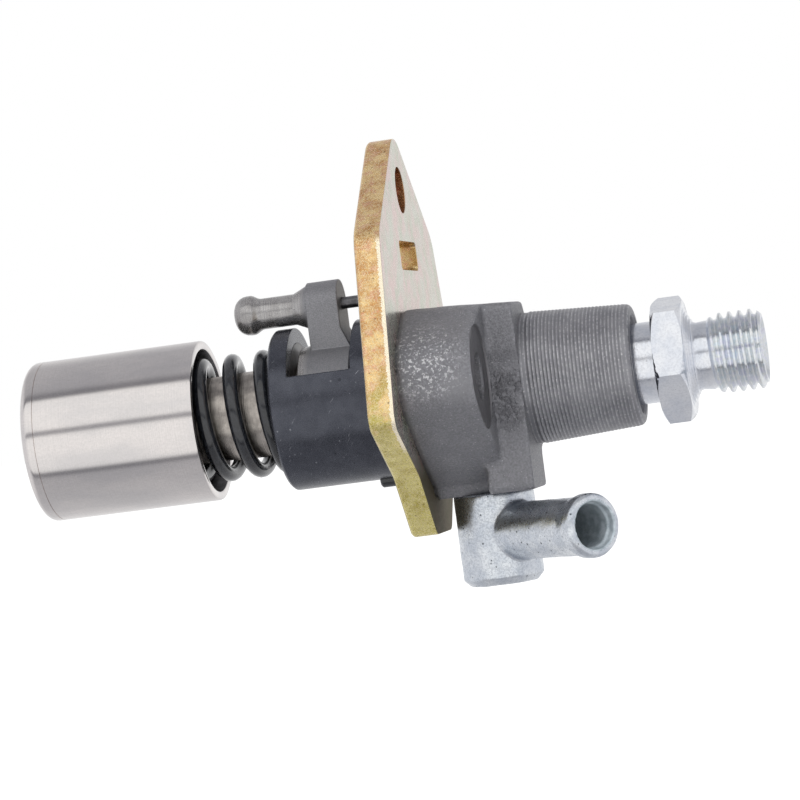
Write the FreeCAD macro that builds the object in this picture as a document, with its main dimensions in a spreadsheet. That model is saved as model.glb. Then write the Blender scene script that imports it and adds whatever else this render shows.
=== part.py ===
import FreeCAD, Part
import math
import os

import Sketcher
from FreeCAD import Placement, Rotation, Vector

# Single-cylinder diesel injection pump. X runs along the pump's axis towards the outlet,
# +Z towards the plate's top, and the origin is on the axis at the plate's mounting face.
# Every value is in millimetres or degrees.
dimensions = {
    # fits
    "fixed_gap": 0.02,  # radial, between pieces that are pressed or screwed together
    "running_gap": 0.03,  # radial, between pieces that slide or turn in each other
    "loose_gap": 0.3,  # radial, where a piece only passes through another
    # tappet and what it holds
    "tappet_outer": 24.5,
    "tappet_bore": 21.8,
    "tappet_length": 27.0,
    "tappet_floor": 5.0,
    "tappet_chamfer": 1.0,
    "tappet_rim_chamfer": 0.4,
    "tappet_travel": 7.0,
    "shim_outer": 14.0,
    "shim_thickness": 2.5,
    "shim_chamfer": 0.3,
    "lower_seat_thickness": 1.6,
    "lower_seat_boss": 0.8,  # height of the shoulder that centres the spring
    # plunger
    "plunger_outer": 6.0,
    "foot_outer": 8.0,
    "foot_thickness": 1.8,
    "neck_outer": 4.2,
    "vane_span": 12.6,
    "vane_width": 2.8,
    "vane_length": 2.5,
    "vane_margin": 0.8,  # from the sleeve's open end to the vane at rest
    "head_space": 2.0,  # left above the plunger at full stroke
    "spill_groove": 0.5,  # depth of the plunger's ring groove and of the slot up to its crown
    "spill_slot_width": 1.2,
    # plunger spring
    "spring_outer": 19.3,
    "spring_wire": 2.3,
    "spring_length": 29.3,
    "spring_pitch": 4.8,
    "spring_tip_turn": 212.0,  # where the wire ends at the barrel, from +Y towards +Z
    "closed_gap": 0.1,  # between the end turns of both springs and the turns beside them
    "upper_seat_thickness": 1.5,
    # guide barrel
    "barrel_outer": 24.5,
    "barrel_reach": 17.9,  # from the mounting face to the barrel's open end
    "spring_pocket": 19.9,
    "spring_pocket_depth": 3.1,
    "ring_pocket": 18.7,
    "barrel_chamfer": 0.5,
    "slot_width": 9.7,
    "slot_floor": 4.9,
    "barrel_recess": 1.0,  # how deep the barrel's shoulder sits in the plate
    "spigot_outer": 20.0,
    "spigot_depth": 4.0,
    "spigot_bore": 14.4,
    # control sleeve and arm
    "sleeve_outer": 13.2,
    "sleeve_end_gap": 1.6,  # left between sleeve and lower seat at full stroke
    "arm_ring_outer": 18.4,
    "arm_ring_width": 8.0,
    "arm_float": 0.9,
    "arm_head_step": 1.8,
    "arm_head_thickness": 5.0,
    "arm_head_width": 7.5,
    "arm_fold": 8.4,  # height at which the head leaves the ring
    "arm_flare": 3.0,
    "stud_height": 15.0,
    "stud_neck": 4.7,
    "stud_flare": 6.8,
    "stud_flare_length": 1.9,
    "knob_outer": 6.0,
    "knob_length": 3.9,
    "knob_round": 1.4,
    "stud_length": 11.6,  # from the arm's head to the knob's tip
    "arm_pin_outer": 1.8,
    "arm_pin_seat": 3.0,
    "arm_pin_reach": 4.9,
    # mounting plate
    "plate_thickness": 4.0,
    "plate_apex": 39.9,
    "plate_apex_round": 6.0,
    "plate_shoulder_y": 22.3,
    "plate_shoulder_z": 23.8,
    "plate_shoulder_round": 6.0,
    "plate_wing_y": 29.8,
    "plate_wing_z": -4.2,
    "plate_wing_round": 3.0,
    "plate_waist_y": 15.5,
    "plate_waist_z": -12.1,
    "plate_waist_round": 6.0,
    "plate_foot_y": 6.6,
    "plate_foot_z": -21.3,
    "plate_foot_round": 2.5,
    "plate_edge_chamfer": 0.4,
    "fixing_hole": 7.0,
    "top_hole_z": 30.7,
    "side_hole_y": 17.5,
    "side_hole_z": 1.2,
    "window_width": 14.0,
    "window_height": 4.3,
    "window_z": 20.7,
    "window_round": 0.8,
    "locating_pin_outer": 2.4,
    "locating_pin_z": -12.3,
    "locating_pin_reach": 4.7,
    "locating_pin_seat": 3.0,
    # cast body
    "ear_thickness": 11.5,
    "ear_top": 12.4,
    "ear_shoulder_y": 13.5,
    "ear_shoulder_round": 6.0,
    "ear_side": 24.1,
    "ear_upper_z": 5.7,
    "ear_lower_z": -1.9,
    "ear_side_round": 6.0,
    "ear_waist_y": 11.4,
    "ear_waist_z": -11.2,
    "ear_waist_round": 8.0,
    "ear_hip_y": 5.6,
    "ear_hip_z": -14.4,
    "ear_foot_y": 4.6,
    "ear_foot_z": -16.2,
    "ear_back_chamfer": 0.6,
    "spot_face": 15.4,
    "spot_face_depth": 0.4,
    "block_start": 9.0,  # from the plate to where the square block grows out of the ears
    "block_near": -10.5,
    "block_far": 2.5,
    "block_round": 0.8,
    "block_far_round": 2.5,
    "core_outer": 22.0,
    "core_length": 15.9,
    "cone_base": 20.0,
    "cone_tip": 18.2,
    "cone_length": 16.4,
    "cone_chamfer": 0.7,
    "ledge_thickness": 2.0,
    "element_bore": 14.0,
    "mouth_bore": 14.8,
    "mouth_depth": 2.3,
    "gallery_outer": 16.0,
    "gallery_offset": 1.0,
    "gallery_width": 3.6,
    # plunger barrel
    "element_outer": 10.0,
    "element_head_length": 14.0,
    "element_waist": 12.4,
    "inlet_port": 2.5,
    "index_pin_outer": 1.5,
    "index_pin_length": 2.6,
    # delivery valve
    "valve_seat_flange": 4.0,
    "valve_seat_boss": 9.0,
    "valve_seat_boss_length": 2.5,
    "valve_bore": 5.0,
    "valve_head": 6.6,
    "valve_cone": 0.8,
    "valve_rim": 1.2,
    "valve_guide": 4.6,
    "valve_stub": 3.6,
    "valve_stub_length": 2.4,
    "valve_seat_gap": 0.05,
    "wing_width": 1.2,
    "gasket_thickness": 1.2,
    "valve_spring_outer": 6.4,
    "valve_spring_wire": 0.9,
    "valve_spring_pitch": 2.0,
    "valve_spring_tip_turn": 0.0,
    # delivery valve holder
    "holder_neck": 12.2,
    "holder_thread_end": 2.3,  # from the mouth of the cast body back to the holder's own thread
    "neck_length": 3.1,
    "hex_across": 17.0,
    "hex_thickness": 4.6,
    "hex_turn": 16.7,
    "undercut_outer": 10.0,
    "undercut_length": 3.2,
    "outlet_thread": 12.0,
    "outlet_thread_length": 8.1,
    "outlet_chamfer": 0.9,
    "holder_cavity": 9.2,
    "holder_cavity_end": 1.5,  # wall left between the cavity and the hex's outer face
    "outlet_bore": 2.6,
    "outlet_cone": 9.5,
    "outlet_cone_depth": 3.8,
    # inlet elbow
    "inlet_offset": 8.1,  # from the plate to the stub's axis
    "stub_outer": 12.2,
    "stub_length": 13.8,
    "stub_chamfer": 1.1,
    "inlet_spigot": 6.0,
    "inlet_spigot_length": 4.7,
    "inlet_spigot_bore": 3.8,
    "inlet_drilling": 4.0,
    "tube_drop": 6.1,  # from the cast body's foot to the tube's axis
    "tube_outer": 8.6,
    "tube_reach": 23.7,
    "tube_bore": 6.4,
    "tube_mouth": 7.0,
    "tube_mouth_depth": 1.2,
    "tube_turn": 45.0,
    "bead_outer": 9.5,
    "bead_width": 1.4,
    "bead_ramp": 1.8,
    "bead_lead": 0.5,
    # how finely round wire and seals are drawn
    "runs_per_turn": 16,
    "section_sides": 10,
}

doc = FreeCAD.newDocument("injection_pump")
sheet = doc.addObject("Spreadsheet::Sheet", "Dim")
for row, (alias, number) in enumerate(dimensions.items(), 1):
    sheet.set(f"A{row}", alias)
    sheet.set(f"B{row}", str(number))
    sheet.setAlias(f"B{row}", alias)
doc.recompute()

# Places along the axis, each worked out from the sheet and from the places before it.
places = doc.addObject("App::VarSet", "At")
stations = {
    "seat_face": "Dim.spring_pocket_depth - Dim.barrel_reach",
    "spring_right": "At.seat_face - Dim.upper_seat_thickness",
    "spring_left": "At.spring_right - Dim.spring_length",
    "seat_left": "At.spring_left - Dim.lower_seat_thickness",
    "foot_left": "At.seat_left - Dim.foot_thickness",
    "shim_left": "At.foot_left - Dim.shim_thickness",
    "tappet_left": "At.shim_left - Dim.tappet_floor",
    "tappet_right": "At.tappet_left + Dim.tappet_length",
    "sleeve_left": "At.spring_left + Dim.tappet_travel + Dim.sleeve_end_gap",
    "vane_left": "At.sleeve_left + Dim.vane_margin",
    "vane_right": "At.vane_left + Dim.vane_length",
    "sleeve_slot_end": "At.vane_right + Dim.tappet_travel + Dim.loose_gap",
    "element_left": "At.sleeve_slot_end + Dim.loose_gap",
    "ring_left": "At.seat_face + Dim.arm_float",
    "ring_right": "At.ring_left + Dim.arm_ring_width",
    "head_left": "At.ring_left + Dim.arm_head_step",
    "head_right": "At.head_left + Dim.arm_head_thickness",
    "head_top": "Dim.stud_height + Dim.arm_head_width / 2 - Dim.running_gap",
    "slot_right": "At.seat_face + Dim.slot_width",
    "body_left": "Dim.plate_thickness",
    "spigot_end": "At.body_left + Dim.spigot_depth",
    "element_shoulder": "At.spigot_end + Dim.ledge_thickness",
    "element_right": "At.element_shoulder + Dim.element_head_length",
    "index_z": "(Dim.element_outer + Dim.element_bore) / 4",
    "gallery_left": "At.element_shoulder + Dim.gallery_offset",
    "gallery_right": "At.gallery_left + Dim.gallery_width",
    "stem_right": "At.element_right - Dim.tappet_travel - Dim.head_space",
    "flange_right": "At.element_right + Dim.valve_seat_flange",
    "valve_seat_right": "At.flange_right + Dim.valve_seat_boss_length",
    "holder_left": "At.flange_right + Dim.gasket_thickness",
    "ear_right": "At.body_left + Dim.ear_thickness",
    "spot_floor": "At.ear_right - Dim.spot_face_depth",
    "block_left": "At.body_left + Dim.block_start",
    "core_right": "At.body_left + Dim.core_length",
    "cone_right": "At.core_right + Dim.cone_length",
    "mouth_left": "At.cone_right - Dim.mouth_depth",
    "thread_right": "At.cone_right - Dim.holder_thread_end",
    "hex_left": "At.cone_right + Dim.neck_length",
    "hex_right": "At.hex_left + Dim.hex_thickness",
    "undercut_right": "At.hex_right + Dim.undercut_length",
    "holder_right": "At.undercut_right + Dim.outlet_thread_length",
    "cavity_right": "At.hex_right - Dim.holder_cavity_end",
    "valve_head_left": "At.valve_seat_right + Dim.valve_seat_gap",
    "valve_head_right": "At.valve_head_left + Dim.valve_rim",
    "valve_left": "At.element_right + Dim.valve_seat_gap",
    "valve_right": "At.valve_head_right + Dim.valve_stub_length",
    "inlet_x": "At.body_left + Dim.inlet_offset",
    "stub_bottom": "Dim.ear_foot_z - Dim.stub_length",
    "tube_z": "Dim.ear_foot_z - Dim.tube_drop",
}
for name, expression in stations.items():
    places.addProperty("App::PropertyFloat", name, "Places")
    places.setExpression(name, expression)
doc.recompute()


def dim(name):
    return float(sheet.get(name))


def at(name):
    return float(getattr(places, name))


def new_body(name):
    body = doc.addObject("PartDesign::Body", name)
    body.Label = name
    return body


def new_sketch(body, plane, offset=None):
    """Empty sketch on one of the body's own planes, moved along the plane's normal by an expression."""
    sketch = body.newObject("Sketcher::SketchObject", f"{body.Name}_sketch")
    origin = next(o for o in body.Origin.OriginFeatures if o.Role == plane)
    sketch.AttachmentSupport = [(origin, "")]
    sketch.MapMode = "FlatFace"
    if offset:
        sketch.setExpression("AttachmentOffset.Base.z", offset)
    return sketch


def tie_point(sketch, element, point, across, up):
    """Ties a sketch point's two coordinates to expressions."""
    for kind, axis, expression in (("DistanceX", -2, across), ("DistanceY", -1, up)):
        if expression == "0":
            sketch.addConstraint(Sketcher.Constraint("PointOnObject", element, point, axis))
            continue
        index = sketch.addConstraint(Sketcher.Constraint(kind, -1, 1, element, point, 1.0))
        sketch.setExpression(f"Constraints[{index}]", expression)


def add_polygon(sketch, corners):
    """Closed outline whose every corner is tied to the sheet."""
    count = len(corners)
    start = [
        Vector(math.cos(2 * math.pi * i / count), math.sin(2 * math.pi * i / count), 0)
        for i in range(count)
    ]
    first = sketch.GeometryCount
    for i in range(count):
        sketch.addGeometry(Part.LineSegment(start[i], start[(i + 1) % count]))
    for i in range(count):
        following = first + (i + 1) % count
        sketch.addConstraint(Sketcher.Constraint("Coincident", first + i, 2, following, 1))
    for i, (across, up) in enumerate(corners):
        tie_point(sketch, first + i, 1, across, up)


def add_circle(sketch, diameter, across="0", up="0"):
    element = sketch.addGeometry(Part.Circle(Vector(0, 0, 0), Vector(0, 0, 1), 1.0))
    tie_point(sketch, element, 3, across, up)
    index = sketch.addConstraint(Sketcher.Constraint("Diameter", element, 2.0))
    sketch.setExpression(f"Constraints[{index}]", diameter)


def add_axis(sketch, ends):
    """Construction line that a profile turns about."""
    line = Part.LineSegment(Vector(0, 0, 0), Vector(1, 1, 0))
    element = sketch.addGeometry(line, True)
    for point, (across, up) in enumerate(ends, 1):
        tie_point(sketch, element, point, across, up)


def turn(body, corners, kind="Revolution", plane="XZ_Plane", axis=None):
    """Solid or groove of revolution, about the pump's axis unless another is given."""
    sketch = new_sketch(body, plane)
    add_polygon(sketch, corners)
    if axis:
        add_axis(sketch, axis)
    feature = body.newObject(f"PartDesign::{kind}", f"{body.Name}_{kind.lower()}")
    feature.Profile = sketch
    feature.ReferenceAxis = (sketch, ["Axis0" if axis else "H_Axis"])
    feature.Angle = 360
    return finish(body, feature, cuts=kind == "Groove")


def pad(body, sketch, length, kind="Pad", both_ways=False, through=False, reverse=False):
    feature = body.newObject(f"PartDesign::{kind}", f"{body.Name}_{kind.lower()}")
    feature.Profile = sketch
    feature.Midplane = both_ways
    feature.Reversed = reverse
    if through:
        feature.Type = "ThroughAll"
    else:
        feature.setExpression("Length", length)
    return finish(body, feature, cuts=kind == "Pocket")


def finish(body, feature, cuts):
    """Rebuilds, and stops if the feature failed or left the solid as it was."""
    before = feature.BaseFeature.Shape.Volume if feature.BaseFeature else 0.0
    body.Tip = feature
    doc.recompute()
    if not feature.isValid() or feature.Shape.isNull():
        raise RuntimeError(f"{feature.Name} failed: {feature.State}")
    change = feature.Shape.Volume - before
    if (cuts and change > -1e-6) or (not cuts and change < 1e-6):
        raise RuntimeError(f"{feature.Name} changed nothing")
    return feature


def dress(body, kind, wanted, size):
    """Fillet or chamfer on the edges of the last feature that the test accepts."""
    base = body.Tip
    names = [f"Edge{i}" for i, edge in enumerate(base.Shape.Edges, 1) if wanted(edge)]
    if not names:
        raise RuntimeError(f"{body.Name}: no edge for a {kind}")
    feature = body.newObject(f"PartDesign::{kind}", f"{body.Name}_{kind.lower()}")
    feature.Base = (base, names)
    feature.setExpression("Radius" if kind == "Fillet" else "Size", size)
    body.Tip = feature
    doc.recompute()
    if not feature.isValid() or feature.Shape.isNull() or not feature.Shape.isValid():
        raise RuntimeError(f"{feature.Name} failed: {feature.State}")
    return feature


def close(first, second):
    return abs(first - second) < 0.01


def ring(x, diameter):
    """Edge test: a circle about the pump's axis, at this place and size."""

    def test(edge):
        curve = edge.Curve
        return (
            isinstance(curve, Part.Circle)
            and close(curve.Center.x, x)
            and close(2 * curve.Radius, diameter)
            and close(math.hypot(curve.Center.y, curve.Center.z), 0)
        )

    return test


def corner(y, z):
    """Edge test: a straight edge along X that passes through (y, z)."""

    def test(edge):
        ends = [v.Point for v in edge.Vertexes]
        return len(ends) == 2 and all(close(p.y, y) and close(p.z, z) for p in ends)

    return test


def mirrored(corners):
    """A half outline, listed from the top down on +Y, and its mirror image on -Y."""
    other = [(f"-1 * ({y})", z) for y, z in reversed(corners) if y != "0"]
    return corners + other


def stepped(*steps):
    """Profile of a turned piece: places along the axis, each with the diameter up to the next one."""
    points = [(steps[0][0], "0")]
    for (x, diameter), (following, _) in zip(steps, steps[1:]):
        points.append((x, f"({diameter}) / 2"))
        points.append((following, f"({diameter}) / 2"))
    points.append((steps[-1][0], "0"))
    return points


def tube(left, right, outer, inner):
    """Profile of a plain ring or sleeve."""
    return [
        (left, f"({inner}) / 2"),
        (left, f"({outer}) / 2"),
        (right, f"({outer}) / 2"),
        (right, f"({inner}) / 2"),
    ]


def tappet():
    body = new_body("tappet")
    turn(
        body,
        [
            ("At.tappet_left", "0"),
            ("At.tappet_left", "Dim.tappet_outer / 2"),
            ("At.tappet_right", "Dim.tappet_outer / 2"),
            ("At.tappet_right", "Dim.tappet_bore / 2"),
            ("At.shim_left", "Dim.tappet_bore / 2"),
            ("At.shim_left", "0"),
        ],
    )
    outer = dim("tappet_outer")
    dress(body, "Chamfer", ring(at("tappet_left"), outer), "Dim.tappet_chamfer")
    rims = [ring(at("tappet_right"), outer), ring(at("tappet_right"), dim("tappet_bore"))]
    dress(body, "Chamfer", lambda edge: any(rim(edge) for rim in rims), "Dim.tappet_rim_chamfer")
    return body


def adjusting_shim():
    body = new_body("adjusting_shim")
    turn(body, stepped(("At.shim_left", "Dim.shim_outer"), ("At.foot_left", "")))
    dress(body, "Chamfer", ring(at("shim_left"), dim("shim_outer")), "Dim.shim_chamfer")
    return body


def lower_spring_seat():
    body = new_body("lower_spring_seat")
    hole = "Dim.neck_outer + 2 * Dim.loose_gap"
    boss = "Dim.spring_outer - 2 * Dim.spring_wire - 2 * Dim.loose_gap"
    rim = "Dim.tappet_bore - 2 * Dim.loose_gap"
    turn(
        body,
        [
            ("At.seat_left", f"({hole}) / 2"),
            ("At.seat_left", f"({rim}) / 2"),
            ("At.spring_left", f"({rim}) / 2"),
            ("At.spring_left", f"({boss}) / 2"),
            ("At.spring_left + Dim.lower_seat_boss", f"({boss}) / 2"),
            ("At.spring_left + Dim.lower_seat_boss", f"({hole}) / 2"),
        ],
    )
    # the plunger's neck enters from the side through this slot
    slot = new_sketch(body, "YZ_Plane", "At.seat_left")
    edge = "Dim.tappet_bore / 2"
    half = f"({hole}) / 2"
    add_polygon(slot, [("0", f"-1 * {half}"), (edge, f"-1 * {half}"), (edge, half), ("0", half)])
    pad(body, slot, "", "Pocket", through=True, both_ways=True)
    return body


def plunger():
    body = new_body("plunger")
    turn(
        body,
        stepped(
            ("At.foot_left", "Dim.foot_outer"),
            ("At.seat_left", "Dim.neck_outer"),
            ("At.vane_right", "Dim.plunger_outer"),
            ("At.stem_right", ""),
        ),
    )
    vane = new_sketch(body, "YZ_Plane", "At.vane_left")
    half_span = "Dim.vane_span / 2"
    half_width = "Dim.vane_width / 2"
    add_polygon(
        vane,
        [
            (f"-{half_width}", f"-{half_span}"),
            (half_width, f"-{half_span}"),
            (half_width, half_span),
            (f"-{half_width}", half_span),
        ],
    )
    pad(body, vane, "Dim.vane_length")
    # ring groove below the crown, where the fuel spills back
    groove_left = "At.stem_right - Dim.plunger_outer"
    groove_right = "At.stem_right - Dim.plunger_outer / 2"
    outside = "Dim.plunger_outer + 2"
    turn(
        body,
        tube(groove_left, groove_right, outside, "Dim.plunger_outer - 2 * Dim.spill_groove"),
        "Groove",
    )
    # slot from the crown down to the ring groove
    slot = new_sketch(body, "XZ_Plane")
    depth = "Dim.plunger_outer / 2 - Dim.spill_groove"
    beyond = "Dim.plunger_outer / 2 + 1"
    add_polygon(
        slot,
        [
            (groove_left, depth),
            (groove_left, beyond),
            ("At.stem_right + 1", beyond),
            ("At.stem_right + 1", depth),
        ],
    )
    pad(body, slot, "Dim.spill_slot_width", "Pocket", both_ways=True)
    return body


def coil(name, left, right, outer, wire, pitch, tip_turn):
    """Right-handed compression spring with a closed, ground turn at each end.

    The wire is drawn as short straight runs of a many-sided section, which keeps the solid light.
    """
    radius = (outer - wire) / 2
    closed = wire + dim("closed_gap")
    live = (right - left - 2 * closed) / pitch
    turns = live + 2
    runs = round(turns * dim("runs_per_turn"))
    points = []
    for run in range(-1, runs + 2):
        wound = run * turns / runs
        x = left + closed * wound
        x += (pitch - closed) * min(max(wound - 1, 0), live)
        angle = math.radians(tip_turn) - 2 * math.pi * (turns - wound)
        points.append(Vector(x, radius * math.cos(angle), radius * math.sin(angle)))
    along = (points[1] - points[0]).normalize()
    across = along.cross(Vector(1, 0, 0)).normalize()
    up = along.cross(across)
    sides = round(dim("section_sides"))
    reach = wire / 2 / math.cos(math.pi / sides)
    steps = [2 * math.pi * side / sides for side in range(sides)]
    section = [points[0] + across * reach * math.cos(a) + up * reach * math.sin(a) for a in steps]
    outline = Part.makePolygon(section + section[:1])
    right_corners = 1
    wound_wire = Part.makePolygon(points).makePipeShell([outline], True, False, right_corners)
    ground = Part.makeCylinder(outer, right - left, Vector(left, 0, 0), Vector(1, 0, 0))
    spring = doc.addObject("Part::Feature", name)
    spring.Label = name
    spring.Shape = wound_wire.common(ground)
    return spring


def upper_spring_seat():
    body = new_body("upper_spring_seat")
    outer = "Dim.spring_pocket - 2 * Dim.fixed_gap"
    inner = "Dim.sleeve_outer + 2 * Dim.loose_gap"
    turn(body, tube("At.spring_right", "At.seat_face", outer, inner))
    return body


def guide_barrel():
    body = new_body("guide_barrel")
    turn(
        body,
        [
            ("-1 * Dim.barrel_reach", "Dim.spring_pocket / 2"),
            ("-1 * Dim.barrel_reach", "Dim.barrel_outer / 2"),
            ("Dim.barrel_recess", "Dim.barrel_outer / 2"),
            ("Dim.barrel_recess", "Dim.spigot_outer / 2"),
            ("At.spigot_end", "Dim.spigot_outer / 2"),
            ("At.spigot_end", "Dim.spigot_bore / 2"),
            ("At.slot_right", "Dim.spigot_bore / 2"),
            ("At.slot_right", "Dim.ring_pocket / 2"),
            ("At.seat_face", "Dim.ring_pocket / 2"),
            ("At.seat_face", "Dim.spring_pocket / 2"),
        ],
    )
    dress(body, "Chamfer", ring(-dim("barrel_reach"), dim("barrel_outer")), "Dim.barrel_chamfer")
    # slot across the top, for the control arm
    slot = new_sketch(body, "XZ_Plane")
    add_polygon(
        slot,
        [
            ("At.seat_face", "Dim.slot_floor"),
            ("At.slot_right", "Dim.slot_floor"),
            ("At.slot_right", "Dim.barrel_outer"),
            ("At.seat_face", "Dim.barrel_outer"),
        ],
    )
    pad(body, slot, "2 * Dim.barrel_outer", "Pocket", both_ways=True)
    # half-round groove for the locating pin
    groove = new_sketch(body, "YZ_Plane", "-1 * Dim.locating_pin_reach - Dim.fixed_gap")
    add_circle(groove, "Dim.locating_pin_outer + 2 * Dim.fixed_gap", "0", "Dim.locating_pin_z")
    pad(body, groove, "Dim.locating_pin_reach + Dim.plate_thickness", "Pocket", reverse=True)
    return body


def locating_pin():
    body = new_body("locating_pin")
    sketch = new_sketch(body, "YZ_Plane", "-1 * Dim.locating_pin_reach")
    add_circle(sketch, "Dim.locating_pin_outer", "0", "Dim.locating_pin_z")
    pad(body, sketch, "Dim.locating_pin_reach + Dim.plate_thickness + Dim.locating_pin_seat")
    dress(
        body,
        "Chamfer",
        lambda edge: close(edge.BoundBox.XMax, -dim("locating_pin_reach")),
        "Dim.loose_gap",
    )
    return body


def control_sleeve():
    body = new_body("control_sleeve")
    bore = "Dim.element_outer + 2 * Dim.running_gap"
    turn(body, tube("At.sleeve_left", "At.ring_right", "Dim.sleeve_outer", bore))
    # two open slots that turn the plunger by its vane
    slot = new_sketch(body, "XY_Plane")
    half = "Dim.vane_width / 2 + Dim.running_gap"
    add_polygon(
        slot,
        [
            ("At.sleeve_left - 1", f"-1 * ({half})"),
            ("At.sleeve_slot_end", f"-1 * ({half})"),
            ("At.sleeve_slot_end", half),
            ("At.sleeve_left - 1", half),
        ],
    )
    pad(body, slot, "2 * Dim.sleeve_outer", "Pocket", both_ways=True)
    return body


def control_arm():
    body = new_body("control_arm")
    head = new_sketch(body, "XZ_Plane")
    root = "Dim.sleeve_outer / 2 + Dim.loose_gap"
    add_polygon(
        head,
        [
            ("At.head_left", root),
            ("At.head_left", "At.head_top"),
            ("At.head_right", "At.head_top"),
            ("At.head_right", "Dim.arm_fold + Dim.arm_flare"),
            ("At.ring_right", "Dim.arm_fold"),
            ("At.ring_right", root),
        ],
    )
    pad(body, head, "Dim.arm_head_width", both_ways=True)
    half = dim("arm_head_width") / 2
    tops = [corner(half, at("head_top")), corner(-half, at("head_top"))]
    dress(
        body,
        "Fillet",
        lambda edge: any(top(edge) for top in tops),
        "Dim.arm_head_width / 2 - Dim.running_gap",
    )
    turn(body, tube("At.ring_left", "At.ring_right", "Dim.arm_ring_outer", "Dim.sleeve_outer"))
    tip = "At.head_left - Dim.stud_length"
    knob_end = f"{tip} + Dim.knob_length"
    flare = "At.head_left - Dim.stud_flare_length"
    knob_top = "Dim.stud_height + Dim.knob_outer / 2"
    eased = "Dim.knob_round * (1 - cos(45 deg))"
    turn(
        body,
        [
            (tip, "Dim.stud_height"),
            (tip, f"{knob_top} - Dim.knob_round"),
            (f"{tip} + {eased}", f"{knob_top} - {eased}"),
            (f"{tip} + Dim.knob_round", knob_top),
            (f"{knob_end} - (Dim.knob_outer - Dim.stud_neck) / 2", knob_top),
            (knob_end, "Dim.stud_height + Dim.stud_neck / 2"),
            (flare, "Dim.stud_height + Dim.stud_neck / 2"),
            (
                "At.head_left - Dim.stud_flare_length / 3",
                "Dim.stud_height + (Dim.stud_neck + Dim.stud_flare) / 4 - Dim.loose_gap / 3",
            ),
            ("At.head_left", "Dim.stud_height + Dim.stud_flare / 2"),
            ("At.head_left + 1", "Dim.stud_height + Dim.stud_flare / 2"),
            ("At.head_left + 1", "Dim.stud_height"),
        ],
        axis=[(tip, "Dim.stud_height"), ("At.head_left", "Dim.stud_height")],
    )
    sleeve_hole = new_sketch(body, "YZ_Plane")
    add_circle(sleeve_hole, "Dim.sleeve_outer + 2 * Dim.fixed_gap")
    pad(body, sleeve_hole, "", "Pocket", both_ways=True, through=True)
    pin_hole = new_sketch(body, "YZ_Plane", "At.head_right")
    add_circle(pin_hole, "Dim.arm_pin_outer + 2 * Dim.fixed_gap", "0", "Dim.stud_height")
    pad(body, pin_hole, "Dim.arm_pin_seat", "Pocket")
    return body


def arm_pin():
    body = new_body("arm_pin")
    sketch = new_sketch(body, "YZ_Plane", "At.head_right - Dim.arm_pin_seat")
    add_circle(sketch, "Dim.arm_pin_outer", "0", "Dim.stud_height")
    pad(body, sketch, "Dim.arm_pin_seat + Dim.arm_pin_reach")
    return body


def mounting_plate():
    body = new_body("mounting_plate")
    corners = {
        "apex": ("0", "Dim.plate_apex"),
        "shoulder": ("Dim.plate_shoulder_y", "Dim.plate_shoulder_z"),
        "wing": ("Dim.plate_wing_y", "Dim.plate_wing_z"),
        "waist": ("Dim.plate_waist_y", "Dim.plate_waist_z"),
        "foot": ("Dim.plate_foot_y", "Dim.plate_foot_z"),
    }
    outline = new_sketch(body, "YZ_Plane")
    add_polygon(outline, mirrored(list(corners.values())))
    pad(body, outline, "Dim.plate_thickness")
    dress(body, "Fillet", corner(0, dim("plate_apex")), "Dim.plate_apex_round")
    for name in ("shoulder", "wing", "waist", "foot"):
        y, z = dim(f"plate_{name}_y"), dim(f"plate_{name}_z")
        pair = [corner(y, z), corner(-y, z)]
        dress(
            body,
            "Fillet",
            lambda edge, pair=pair: any(side(edge) for side in pair),
            f"Dim.plate_{name}_round",
        )
    # the punch eases the rim of the mounting face
    dress(body, "Chamfer", lambda edge: close(edge.BoundBox.XMax, 0), "Dim.plate_edge_chamfer")
    fixing = new_sketch(body, "YZ_Plane")
    add_circle(fixing, "Dim.fixing_hole", "0", "Dim.top_hole_z")
    add_circle(fixing, "Dim.fixing_hole", "Dim.side_hole_y", "Dim.side_hole_z")
    add_circle(fixing, "Dim.fixing_hole", "-1 * Dim.side_hole_y", "Dim.side_hole_z")
    add_circle(fixing, "Dim.spigot_outer + 2 * Dim.fixed_gap")
    pad(body, fixing, "", "Pocket", both_ways=True, through=True)
    window = new_sketch(body, "YZ_Plane")
    half = "Dim.window_width / 2"
    low = "Dim.window_z - Dim.window_height / 2"
    high = "Dim.window_z + Dim.window_height / 2"
    add_polygon(window, [(f"-{half}", low), (half, low), (half, high), (f"-{half}", high)])
    pad(body, window, "", "Pocket", both_ways=True, through=True)
    y = dim("window_width") / 2
    z = dim("window_z")
    lift = dim("window_height") / 2
    inner = [corner(a, z + b) for a in (-y, y) for b in (-lift, lift)]
    dress(
        body,
        "Fillet",
        lambda edge: any(side(edge) for side in inner),
        "Dim.window_round",
    )
    # recess for the barrel's shoulder, and the hole that its locating pin goes through
    turn(
        body,
        tube(
            "-1 * Dim.barrel_recess",
            "Dim.barrel_recess",
            "Dim.barrel_outer + 2 * Dim.fixed_gap",
            "Dim.spigot_outer / 2",
        ),
        "Groove",
    )
    pin_hole = new_sketch(body, "YZ_Plane")
    add_circle(pin_hole, "Dim.locating_pin_outer + 2 * Dim.fixed_gap", "0", "Dim.locating_pin_z")
    pad(body, pin_hole, "", "Pocket", both_ways=True, through=True)
    return body


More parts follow.
